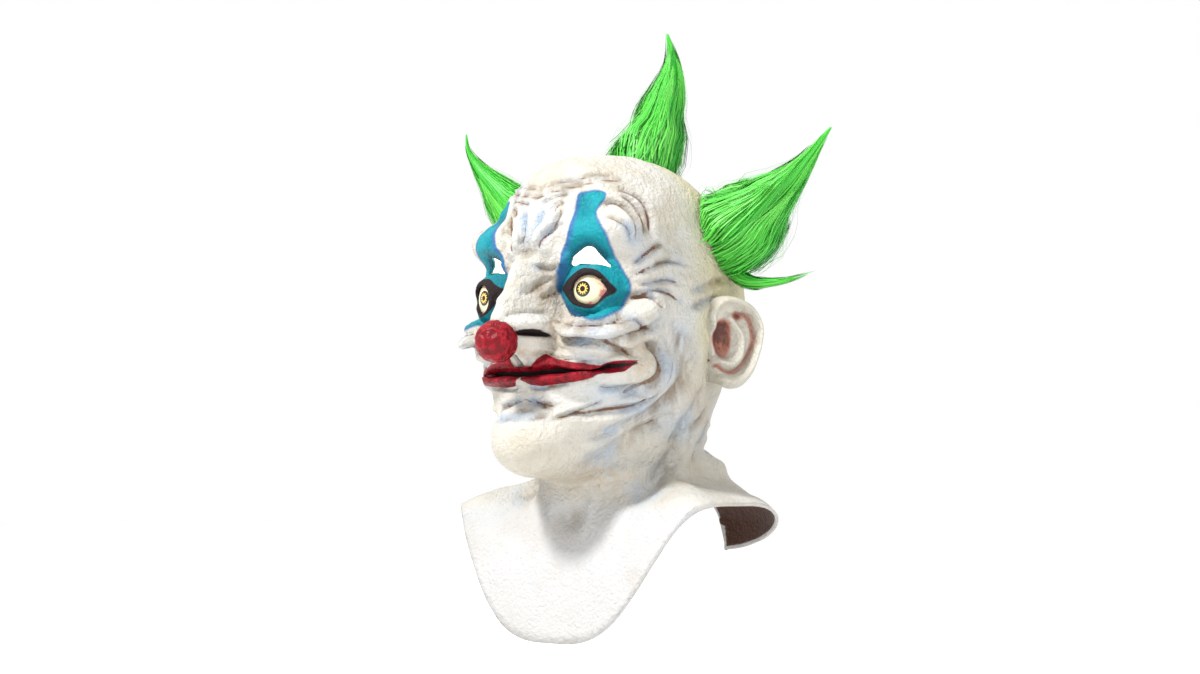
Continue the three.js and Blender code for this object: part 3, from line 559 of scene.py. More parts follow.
def make_piece(name, points_mm, faces, fields=None):
    """A smooth mesh object at the origin, with its points in metres and its float attributes."""
    mesh = bpy.data.meshes.new(name)
    mesh.from_pydata(np.asarray(points_mm) * MM, [], faces)
    mesh.polygons.foreach_set("use_smooth", np.ones(len(mesh.polygons), bool))
    for key, values in (fields or {}).items():
        layer = mesh.attributes.new(key, "FLOAT", "POINT")
        layer.data.foreach_set("value", np.asarray(values, np.float32).ravel())
    mesh.update()
    piece = bpy.data.objects.new(name, mesh)
    bpy.context.scene.collection.objects.link(piece)
    mesh.calc_loop_triangles()
    print(name, len(mesh.vertices), "points", len(mesh.loop_triangles), "triangles")
    return piece


print("cut edges", len(rim_a), "crown edges", top.sum())

# %% [markdown]
# Paint is kept as distances. Each point knows how far it lies inside the blue patch, the
# lips, the black lid line and the mouth slit, so the shader can draw a crisp or a soft edge
# at any zoom, while the mesh stays light.

# %% Paint fields
blue = inside_distance(s_chart, chart_z, closed_outline(BLUE))
almond = inside_distance(s_chart, chart_z, closed_outline(ALMOND))
lips = inside_distance(s_chart, chart_z, np.array(LIPS) * [HALF_WIDTH, HEIGHT])
slit_gap, slit_passed, slit_length = line_distance(s_chart, chart_z, chart_line(SLIT))
slit = 1.75 * np.clip((slit_length - slit_passed) / 9, 0.3, 1) ** 0.6 - slit_gap
# The nostril pits are painted black as well, as painted shade for the dark of an open nostril.
slit = np.maximum(slit, (nostril - 0.30) * 5.0)
for field in (blue, almond, lips, slit):
    field[~front] = -99
# soft patches: angle, height share, radius along, radius up, strength
AIRBRUSH = [
    (0.05, -0.40, 0.14, 0.05, 0.7), (0.12, -0.205, 0.10, 0.05, 0.6), (0.90, -0.300, 0.12, 0.05, 0.5),
    (0.92, -0.545, 0.25, 0.035, 0.5), (0.75, -0.585, 0.30, 0.02, 0.3), (1.10, -0.640, 0.10, 0.06, 0.7),
    (0.20, -0.765, 0.34, 0.030, 0.25), (0.05, -0.830, 0.30, 0.02, 0.7), (0.80, -0.755, 0.22, 0.03, 0.7),
    (1.10, -0.790, 0.25, 0.03, 0.5), (1.30, -0.56, 0.10, 0.08, 0.5), (1.45, -0.850, 0.30, 0.05, 0.8),
    (1.05, -0.960, 0.40, 0.05, 0.7), (0.55, -1.010, 0.30, 0.04, 0.6), (0.20, -1.090, 0.25, 0.05, 0.6),
    (0.60, -1.120, 0.45, 0.03, 0.6), (1.20, -1.060, 0.35, 0.04, 0.5), (0.50, -0.110, 0.40, 0.02, 0.5),
    (0.10, -1.260, 0.50, 0.10, 0.3), (1.95, -0.900, 0.40, 0.06, 0.5), (2.60, -0.880, 0.50, 0.05, 0.4),
    (0.22, -0.530, 0.10, 0.03, 0.3), (1.20, -0.300, 0.15, 0.08, 0.3), (0.33, -0.15, 0.2, 0.03, 0.4),
]
# Sand-coloured wash patches; the wide one at -1.00 under the chin is painted shade.
TAN = [
    (0.10, -0.640, 0.16, 0.022, 0.9), (0.93, -0.668, 0.10, 0.025, 0.8), (0.36, -0.500, 0.12, 0.03, 0.4),
    (0.28, -0.590, 0.14, 0.02, 0.5), (0.33, -0.560, 0.07, 0.03, 0.6), (0.10, -0.750, 0.20, 0.02, 0.4),
    (0.85, -0.610, 0.20, 0.03, 0.5), (0.60, -0.970, 0.20, 0.02, 0.5), (0.40, -1.00, 0.40, 0.035, 0.7),
    (1.00, -0.425, 0.20, 0.03, 0.4), (1.60, -0.420, 0.20, 0.03, 0.4), (0.80, -0.300, 0.12, 0.05, 0.3),
]


def soft_patches(table):
    """The strongest of a list of round soft patches at each point of the chart."""
    total = np.zeros(chart_a.shape)
    for pa, pb, ra, rb, strength in table:
        d = np.hypot((chart_a - pa) / ra, (chart_z / HEIGHT - pb) / rb)
        total = np.maximum(total, strength * np.exp(-d * d))
    return total


cream = smooth((outer[..., 1] + 20) / 50) * smooth((outer[..., 2] + 230) / 80)
n_all = len(points)


def for_wall(values):
    """A field on the outer skin, repeated on the inner wall and on the two crown points."""
    return np.concatenate([values.ravel(), values.ravel(), [values[0].mean()] * 2])


inside = np.zeros(n_all)
lined = (almond < -4) & (slot_gap > 3)
lined[-1:] = False
inside[count:2 * count] = lined.ravel() & (nape_gap > 2)
inside[2 * count + 1] = 1
fields = {
    "blue": for_wall(blue), "almond": for_wall(almond), "lips": for_wall(lips),
    "slit": for_wall(slit), "brown": for_wall(brown), "valley": for_wall(valley),
    "airbrush": for_wall(soft_patches(AIRBRUSH)), "tan": for_wall(soft_patches(TAN)),
    "inner_side": for_wall(smooth((0.58 - chart_a) / 0.14)), "hollow": for_wall(hollow),
    "bib": for_wall(smooth((-285 - outer[..., 2]) / 45)), "cream": for_wall(cream),
    "low": for_wall(smooth((-215 - outer[..., 2]) / 60)), "inside": inside,
    "ear_red": np.zeros(n_all),
}
print("paint fields", sorted(fields))

# %% [markdown]
# An ear is a leaf: a height drawn over its own plane, with a rolled rim, the inner ridge and
# the bowl as lines and pits in that plane, closed by a smooth back that runs into the skull.

# %% Ears
EAR_CENTRE = np.array([103.0, 26.0, -167.0])
EAR_BACKWARD = np.array([0.40, 0.917, 0.0])
EAR_UP = np.array([0.0, -0.09, 0.996])
EAR_OUT = np.array([0.917, -0.40, 0.0])
EAR_OUTLINE = [(-12, 31), (-5, 39), (7, 41), (22, 38), (34, 31), (41, 15), (38, 0), (34, -10),
               (28, -25), (18, -36), (8, -40), (-3, -39), (-12, -33), (-15, -22), (-15, -9),
               (-14, 4), (-14, 18)]
HELIX = [(-10, 14), (-9, 26), (-2, 34), (8, 37.5), (20, 35), (31, 28), (37, 15), (35, 1), (31, -10),
         (25, -22), (16, -31), (6, -35), (-6, -34)]
ANTIHELIX = [(7, 21), (13, 14), (18, 7), (18, -3), (15, -12), (8, -18), (-1, -17.5), (-9, -17)]
SCAPHA = [(16, 27), (27, 24), (31, 12), (30.5, 2), (26, -8), (19.5, -18), (10, -25), (1, -25),
          (-7, -20)]
EAR_TURNS, EAR_RINGS = 96, 40


def plane_line(points):
    """A smooth line through points of the ear's plane, in mm."""
    return catmull(np.array(points, float), np.linspace(0, len(points) - 1, 5 * len(points)))


def ear_height(p, q):
    """Height over the ear's plane: bowl, rolled rim, inner ridge, groove, flap and lobe."""
    rim = line_distance(p, q, plane_line(HELIX))[0]
    ridge = line_distance(p, q, plane_line(ANTIHELIX))[0]
    groove = line_distance(p, q, plane_line(SCAPHA))[0]
    h = -2.5 + 9.5 * np.exp(-(rim / 4.2) ** 2) + 6.5 * np.exp(-(ridge / 4.0) ** 2)
    h -= 3.2 * np.exp(-(groove / 2.2) ** 2)
    h -= 9.5 * bump(np.hypot((p - 2) / 14, (q - 2) / 22))
    h -= 2.0 * bump(np.hypot((p + 2) / 14, (q + 10) / 8))
    h -= 3.0 * bump(np.hypot((p - 22) / 9, (q - 21) / 8))
    h += 5.0 * smooth((-5 - p) / 6) * smooth((q + 14) / 6) * smooth((30 - q) / 8)
    h += 4.0 * bump(np.hypot((p + 4) / 20, (q + 31) / 12))
    return h - 17.0 * smooth((-5 - p) / 9)


def ear_leaf():
    """One ear as a closed polar grid: rings out to the rim on the face, and back on the rear."""
    ring = np.array(EAR_OUTLINE, float)
    ring = np.vstack([ring[-1:], ring, ring[:2]])
    ring = catmull(ring, np.linspace(1, len(ring) - 2, EAR_TURNS + 1))[:-1]
    centre = np.array([9.0, 0.0])
    share = np.linspace(0, 1, EAR_RINGS + 1)[1:] ** 0.85
    face = centre + (ring - centre)[None] * share[:, None, None]
    h = ear_height(face[..., 0], face[..., 1])
    rim_h = h[-1].copy()
    back_share = np.array([1.0, 0.97, 0.90, 0.78, 0.62, 0.45, 0.28])
    back_drop = np.array([1.6, 3.4, 5.5, 8.5, 13.0, 18.0, 21.0])
    rear = centre + (ring - centre)[None] * back_share[:, None, None]
    rear_h = rim_h[None] * (back_share[:, None] ** 2) - back_drop[:, None]
    plane = np.concatenate([face, rear])
    height = np.concatenate([h, rear_h])
    return plane, height, centre


def ear_point(plane, height):
    """From the ear's plane to the head: centre, plus back, up and out by their amounts."""
    return (EAR_CENTRE + plane[..., :1] * EAR_BACKWARD + plane[..., 1:] * EAR_UP
            + height[..., None] * EAR_OUT)


plane, height, ear_middle = ear_leaf()
leaf = ear_point(plane, height)
tip = ear_point(ear_middle[None], ear_height(ear_middle[:1], ear_middle[1:]))
foot = ear_point(ear_middle[None], np.array([-22.0]))
ear_points = np.vstack([leaf.reshape(-1, 3), tip, foot])
ear_quads = grid_quads(len(leaf), EAR_TURNS)
ear_tip, ear_foot = end_fans(len(leaf), EAR_TURNS)
grooves = line_distance(plane[..., 0], plane[..., 1], plane_line(SCAPHA))[0]
bowl = bump(np.hypot((plane[..., 0] - 1.5) / 13, (plane[..., 1] - 3) / 25))
# The bowl is red paint, with painted shade making it darker toward its top under the rim.
bowl_red = smooth(bowl * 2.0) * (0.62 + 0.38 * smooth((plane[..., 1] + 8) / 12))
red = np.maximum(0.62 * np.exp(-(grooves / 2.4) ** 2), bowl_red)
fossa = bump(np.hypot((plane[..., 0] - 17) / 12, (plane[..., 1] - 24) / 7))
red = np.maximum(red, 0.9 * fossa)
# A black spot at the ear canal is painted shade; the mesh has no opening there.
canal_shade_spot = bump(np.hypot((plane[..., 0] + 12) / 3, (plane[..., 1] + 14) / 3))
red = np.where(canal_shade_spot > 0.3, 1.6, red)
red[EAR_RINGS:] = 0
ear_red = np.concatenate([red.ravel(), [1.0, 0.0]])
print("ear points", len(ear_points))

# %% Join the latex
base = len(points)
all_points = [points]
all_faces = list(faces)
for side in (1, -1):
    all_points.append(ear_points * [side, 1, 1])
    for group in (ear_quads, ear_tip, ear_foot):
        wound = group if side > 0 else group[:, ::-1]
        all_faces += (wound + base).tolist()
    base += len(ear_points)
    for key in fields:
        extra = np.full(len(ear_points), -99.0 if key in ("blue", "almond", "lips", "slit") else 0.0)
        if key == "ear_red":
            extra = ear_red
        if key == "cream":
            extra = np.full(len(ear_points), 0.2)
        fields[key] = np.concatenate([fields[key], extra])
skin = make_piece("latex_skin", np.vstack(all_points), all_faces, fields)

# %% [markdown]
# Each eye is a glossy dome behind its lid opening. It is turned on the line of sight, so the
# iris sits at the pole of the grid and its rings follow the grid exactly.

# %% Eyes
IRIS_TURN = 0.216
DOME_OPEN = 0.98
DOME_WALL = 1.6
EYE_RINGS, EYE_TURNS = 60, 96


def eye_dome(side):
    """A spherical cap round the iris axis with an inner skin: radius times sine and cosine."""
    axis = np.array([np.sin(IRIS_TURN), -np.cos(IRIS_TURN), 0.0])
    right = np.array([np.cos(IRIS_TURN), np.sin(IRIS_TURN), 0.0])
    up = np.array([0.0, 0.0, 1.0])
    polar = np.linspace(0.012, DOME_OPEN, EYE_RINGS)
    turn = np.linspace(0, 2 * np.pi, EYE_TURNS, endpoint=False)
    out = []
    for radius, order in ((EYEBALL, 1), (EYEBALL - DOME_WALL, -1)):
        p, q = np.meshgrid(polar[::order], turn, indexing="ij")
        out.append(radius * (np.cos(p)[..., None] * axis + np.sin(p)[..., None]
                             * (np.cos(q)[..., None] * right + np.sin(q)[..., None] * up)))
    grid = np.concatenate(out)
    points = np.vstack([grid.reshape(-1, 3), axis * EYEBALL, axis * (EYEBALL - DOME_WALL)])
    x, z = points @ right, points @ up
    points = (points + EYE) * [side, 1, 1]
    groups = (grid_quads(len(grid), EYE_TURNS), *end_fans(len(grid), EYE_TURNS))
    faces = [face for group in groups for face in (group[:, ::-1] if side > 0 else group).tolist()]
    return make_piece(("eye_ball_left", "eye_ball_right")[side < 0], points, faces,
                      {"iris_x": x, "iris_z": z})


eyes = [eye_dome(1), eye_dome(-1)]

# %% [markdown]
# The nose is a separate foam ball under a wrinkled latex skin. A sphere grid is pushed in and
# out by ridged waves, which gives the crumpled facets that catch the light.

# %% Nose
NOSE_RINGS, NOSE_TURNS = 90, 140


def nose_ball():
    """A sphere grid with ridged wrinkles: radius less the size of two sets of waves."""
    polar = np.linspace(0.03, np.pi - 0.03, NOSE_RINGS)
    turn = np.linspace(0, 2 * np.pi, NOSE_TURNS, endpoint=False)
    p, q = np.meshgrid(polar, turn, indexing="ij")
    ball = np.stack([np.sin(p) * np.cos(q), np.sin(p) * np.sin(q), np.cos(p)], -1)
    poles = np.array([[0, 0, 1.0], [0, 0, -1.0]])
    unit = np.vstack([ball.reshape(-1, 3), poles])
    crumple = -0.50 * np.abs(waves(unit, 0.55, 11)) - 0.24 * np.abs(waves(unit, 0.22, 12))
    points = unit * (NOSE_RADIUS + 0.5 + crumple)[:, None] + NOSE_CENTRE
    groups = (grid_quads(NOSE_RINGS, NOSE_TURNS), *end_fans(NOSE_RINGS, NOSE_TURNS))
    faces = [face for group in groups for face in group.tolist()]
    return make_piece("nose_skin", points, faces, {"crumple": crumple})


nose = nose_ball()

# %% [markdown]
# Each tuft is long synthetic pile combed to a point. A furrowed core keeps it from being seen
# through, and thousands of thin ribbons follow its centre line, gathered in locks.

# %% Hair
# x, y, z, half width along each tuft
TOP = [(0, 40, -14, 34), (0, 47, 8, 33), (0, 59, 31, 28), (0, 70, 54, 23), (0, 81, 82, 17),
       (0, 86, 112, 8), (0, 78, 137, 1)]
LEFT = [(78, 46, -74, 36), (103, 49, -66, 38), (126, 52, -49, 29), (150, 52, -31, 18),
        (177, 49, -10, 9), (206, 45, 15, 1)]
WISP = [(92, 50, -102, 9), (118, 50, -113, 6), (148, 50, -114, 3.5), (186, 50, -108, 0.8)]
CURL = [(88, 40, -48, 14), (104, 46, -36, 15), (124, 52, -33, 10), (136, 54, -44, 3)]
RIGHT = [(-70, 48, -75, 38), (-110, 52, -58, 40), (-145, 51, -36, 34), (-168, 48, -18, 26),
         (-184, 42, 1, 17), (-200, 34, 20, 9), (-210, 26, 40, 3.5), (-208, 20, 58, 1)]
CORE_RINGS, CORE_TURNS = 70, 72
STRAND_STEPS, LOCKS = 13, 70


def tuft_frame(path, s):
    """Centre, half width and two cross directions at the share s of a tuft's length."""
    table = np.array(path, float)
    row = catmull(table, s * (len(table) - 1))
    ahead = catmull(table, np.clip(s + 0.01, 0, 1) * (len(table) - 1))[..., :3]
    behind = catmull(table, np.clip(s - 0.01, 0, 1) * (len(table) - 1))[..., :3]
    t = ahead - behind
    t /= np.linalg.norm(t, axis=-1, keepdims=True)
    side = np.cross(t, np.array([0.0, 1.0, 0.0]))
    side /= np.linalg.norm(side, axis=-1, keepdims=True)
    return row[..., :3], np.maximum(row[..., 3], 0.4), side, np.cross(side, t)


def tuft_point(path, s, radius, turn):
    """A point at a share of the half width and an angle round the centre line."""
    centre, half, side, other = tuft_frame(path, s)
    half = half * (1 + 0.07 * np.sin(15 * s + turn) + 0.03 * np.sin(31 * s + 3 * turn))
    r = (half * radius)[..., None]
    return centre + r * (np.cos(turn)[..., None] * side + np.sin(turn)[..., None] * other)


def tuft_core(path, seed):
    """The body of the tuft: rings round the centre line, furrowed along its length."""
    s, turn = np.meshgrid(np.linspace(0, 0.985, CORE_RINGS),
                          np.linspace(0, 2 * np.pi, CORE_TURNS, endpoint=False), indexing="ij")
    rng = np.random.default_rng(seed)
    furrow = sum(np.sin(k * turn + rng.uniform(0, 6) + rng.uniform(-2, 2) * s) / np.sqrt(k)
                 for k in (3, 5, 8, 13)) / 3
    grid = tuft_point(path, s, 0.66 + 0.10 * furrow, turn)
    ends = tuft_point(path, np.array([0.0, 0.99]), np.zeros(2), np.zeros(2))
    groups = (grid_quads(CORE_RINGS, CORE_TURNS), *end_fans(CORE_RINGS, CORE_TURNS))
    faces = [face for group in groups for face in group.tolist()]
    along = np.concatenate([s.ravel(), [0, 1]])
    return np.vstack([grid.reshape(-1, 3), ends]), faces, along


def tuft_strands(path, count, seed):
    """Ribbons in locks: a lock leaves the scalp, drifts round the tuft and closes to its own tip."""
    rng = np.random.default_rng(seed)
    lock_turn = rng.uniform(0, 2 * np.pi, LOCKS)
    lock_out = np.sqrt(rng.uniform(0.25, 1.0, LOCKS)) * 0.9
    long_lock = rng.random(LOCKS) < 0.62
    lock_end = np.where(long_lock, rng.uniform(0.86, 1.0, LOCKS), rng.uniform(0.42, 0.86, LOCKS))
    swirl = rng.normal(0, 0.55, LOCKS)
    flick = np.where(lock_end < 0.86, rng.uniform(0.0, 0.22, LOCKS), 0.0)
    pick = rng.integers(0, LOCKS, count)
    loose = rng.random(count) < 0.04
    q = np.linspace(0, 1, STRAND_STEPS)
    root = rng.uniform(0.0, 0.22, count)
    end = lock_end[pick] * rng.uniform(0.88, 1.0, count)
    s = root[:, None] + (end - root)[:, None] * q
    close = (1 - q ** 2.2)
    spray = rng.normal(0, 0.23, (2, count)) * np.where(loose, 1.6, 1.0)
    turn = lock_turn[pick][:, None] + (swirl[pick][:, None] * s + spray[0][:, None] * (0.25 + 0.75 * close)
                                      + 0.10 * np.sin(6 * s + pick[:, None]))
    spread = (lock_out[pick][:, None] * (1 + 0.10 * np.sin(5 * s + 2.0 * pick[:, None]))
              + spray[1][:, None] * 0.45 * close + flick[pick][:, None] * q ** 3
              + np.where(loose, 0.22, 0.0)[:, None] * np.sin(np.pi * q))
    line = tuft_point(path, s, np.clip(spread, 0.02, 1.35), turn)
    t = np.gradient(line, axis=1)
    t /= np.linalg.norm(t, axis=-1, keepdims=True) + 1e-9
    out = line - tuft_frame(path, s)[0]
    wide = np.cross(t, out)
    wide /= np.linalg.norm(wide, axis=-1, keepdims=True) + 1e-9
    lean = rng.normal(0, 0.12, count)[:, None, None]
    wide = wide * np.cos(lean) + np.cross(t, wide) * np.sin(lean)
    half = np.where(loose, 0.16, 0.55)[:, None] * (1 - q ** 2.2) + 0.03
    pair = np.stack([line - wide * half[..., None], line + wide * half[..., None]], 2)
    points = pair.reshape(-1, 3)
    base = (np.arange(count)[:, None] * STRAND_STEPS + np.arange(STRAND_STEPS - 1)[None]) * 2
    quads = np.stack([base, base + 1, base + 3, base + 2], -1).reshape(-1, 4)
    tone = np.repeat(rng.random(count)[:, None] * 0.22 + rng.random(LOCKS)[pick][:, None] * 0.78,
                     STRAND_STEPS * 2, 1).ravel()
    return points, quads, np.repeat(s.reshape(-1), 2), tone


SKULL_MIDDLE = np.array([0.0, 15.0, -110.0])
scalp = coarse[::5, ::3].reshape(-1, 3) - SKULL_MIDDLE
scalp_reach = np.linalg.norm(scalp, axis=1)


def on_scalp(points):
    """Moves points that lie inside the skull straight out to its surface, seen from its middle."""
    away = points - SKULL_MIDDLE
    reach = np.linalg.norm(away, axis=1)
    low = np.nonzero(reach < 150)[0]
    unit = away[low] / reach[low][:, None]
    spot = np.concatenate([(part @ (scalp / scalp_reach[:, None]).T).argmax(1)
                           for part in np.array_split(unit, 1 + len(unit) // 4000)])
    lift = np.maximum(reach[low], scalp_reach[spot] + 0.6)
    points = points.copy()
    points[low] = SKULL_MIDDLE + unit * lift[:, None]
    return points


def tuft(name, path, count, seed, extras=()):
    """Core and ribbons of one tuft in one mesh, with smaller locks where the tuft has them."""
    core, faces, along = tuft_core(path, seed)
    parts, lengths, tones = [core], [along], [np.full(len(core), 0.40)]
    start = len(core)
    for k, (line, amount) in enumerate([(path, count), *extras]):
        strands, quads, s, tone = tuft_strands(line, amount, seed + 50 + k)
        faces += (quads + start).tolist()
        start += len(strands)
        parts.append(strands)
        lengths.append(np.maximum(s, 0.2 * (k > 0)))
        tones.append(tone)
    return make_piece(name, on_scalp(np.vstack(parts)), faces,
                      {"along": np.concatenate(lengths), "tone": np.concatenate(tones)})


hair = {
    "hair_top": tuft("pile_top", TOP, 7000, 21),
    "hair_left": tuft("pile_left", LEFT, 6300, 22, ((WISP, 330), (CURL, 700))),
    "hair_right": tuft("pile_right", RIGHT, 7000, 23),
}

# %% [markdown]
# Finishes are node graphs. A small class lets an expression on sockets add its own Math
# nodes, so a mask reads as the formula that it is.

# %% Shader helpers


class Num:
    """A number socket in a node graph that can be added, multiplied and compared."""

    def __init__(self, paint, socket):
        self.paint, self.socket = paint, socket

    def join(self, kind, other, flip=False):
        pair = (other, self) if flip else (self, other)
        return self.paint.node("ShaderNodeMath", {"operation": kind}, *pair)

    def __add__(self, other):
        return self.join("ADD", other)

    def __radd__(self, other):
        return self.join("ADD", other)

    def __sub__(self, other):
        return self.join("SUBTRACT", other)

    def __rsub__(self, other):
        return self.join("SUBTRACT", other, True)

    def __mul__(self, other):
        return self.join("MULTIPLY", other)

    def __rmul__(self, other):
        return self.join("MULTIPLY", other)

    def __truediv__(self, other):
        return self.join("DIVIDE", other)

    def __pow__(self, other):
        return self.join("POWER", other)

    def high(self, other):
        return self.join("MAXIMUM", other)

    def low(self, other):
        return self.join("MINIMUM", other)

    def step(self, start, end):
        """A soft step from 0 at start to 1 at end."""
        return self.paint.node("ShaderNodeMapRange", {"interpolation_type": "SMOOTHSTEP"},
                               self, start, end)


class Paint:
    """One material's node graph: nodes, attributes, noise and layers of colour."""

    def __init__(self, name):
        self.material = bpy.data.materials.new(name)
        self.material.use_nodes = True
        self.tree = self.material.node_tree
        self.shader = self.tree.nodes["Principled BSDF"]
        self.place = self.tree.nodes.new("ShaderNodeTexCoord").outputs["Object"]

    def feed(self, socket, value):
        if isinstance(value, Num):
            value = value.socket
        if isinstance(value, bpy.types.NodeSocket):
            self.tree.links.new(value, socket)
        else:
            socket.default_value = value

    def node(self, kind, settings, *values, out=0, **named):
        made = self.tree.nodes.new(kind)
        for key, value in settings.items():
            setattr(made, key, value)
        for socket, value in zip(made.inputs, values):
            self.feed(socket, value)
        for key, value in named.items():
            self.feed(made.inputs[key.replace("_", " ")], value)
        return Num(self, made.outputs[out])

    def field(self, name):
        return self.node("ShaderNodeAttribute", {"attribute_name": name}, out="Fac")

    def noise(self, scale, detail=3.0, stretch=(1, 1, 1), rough=0.55):
        """Noise on Object coordinates; a stretch below 1 draws it out along that axis."""
        place = self.node("ShaderNodeMapping", {}, Vector=self.place, Scale=stretch)
        return self.node("ShaderNodeTexNoise", {}, Vector=place, Scale=scale, Detail=detail,
                         Roughness=rough)

    def layer(self, under, over, amount, blend="MIX"):
        """The colour over laid on the colour under by the amount."""
        made = self.tree.nodes.new("ShaderNodeMix")
        made.data_type, made.blend_type = "RGBA", blend
        self.feed(made.inputs["Factor"], amount)
        for key, value in (("A", under), ("B", over)):
            socket = next(s for s in made.inputs if s.name == key and s.type == "RGBA")
            self.feed(socket, (*value, 1.0) if isinstance(value, tuple) else value)
        return Num(self, next(s for s in made.outputs if s.type == "RGBA"))

    def finish(self, **sockets):
        for key, value in sockets.items():
            self.feed(self.shader.inputs[key.replace("_", " ")], value)
        return self.material

    def relief(self, height, strength, distance):
        return self.node("ShaderNodeBump", {}, Strength=strength, Distance=distance, Height=height)


print("helpers ready")

# %% [markdown]
# The latex is brushed off-white, then washed: brown settles in the cuts, pale blue is airbrushed into the
# hollows, and the skull turns creamy toward the back. Painted shade darkens the creases, pits, slot
# overhangs, broad hollows and the underside of the chin, mixed there with a brown wash, and dims the bib
# toward the hem. The eye patches and lips are hard-edged paint with a darker border, wider on the inner
# side as painted shade.

# %% Latex finish
# The airbrushed and brushed colours, from the ground coat to the lining, and the colours of painted shade.
OFF_WHITE_LOW = (0.325, 0.300, 0.255)
OFF_WHITE = (0.375, 0.362, 0.335)
CREAM = (0.375, 0.345, 0.20)
SKY = (0.20, 0.30, 0.42)
NECK_SAND = (0.33, 0.295, 0.225)
BIB_TINT_AND_SHADE = (0.300, 0.302, 0.312)
SAND_WASH_AND_CHIN_SHADE = (0.33, 0.23, 0.12)
HOLLOW_SHADE_BROWN = (0.16, 0.125, 0.08)
WASH_AND_SHADE_BROWN = (0.13, 0.095, 0.055)
WASH_AND_SHADE_BLUE = (0.19, 0.25, 0.33)
STROKE_BROWN = (0.14, 0.035, 0.012)
CUT_BROWN = (0.10, 0.068, 0.042)
PATCH_EDGE = (0.003, 0.070, 0.20)
TEAL_LOW = (0.0, 0.105, 0.135)
TEAL = (0.003, 0.20, 0.235)
TEAL_SHADE = (0.0, 0.04, 0.075)
BLACK_LINE = (0.012, 0.007, 0.008)
EAR_CANAL_SHADE = (0.01, 0.006, 0.005)
LINING_PALE = (0.62, 0.58, 0.48)
LINING_DARK = (0.04, 0.016, 0.010)
LIP_RED = (0.18, 0.002, 0.008)
LIP_DARK = (0.08, 0.001, 0.004)
EAR_PINK = (0.25, 0.085, 0.055)
EAR_RED = (0.075, 0.012, 0.008)
EAR_RED_SHADE = (0.045, 0.008, 0.006)


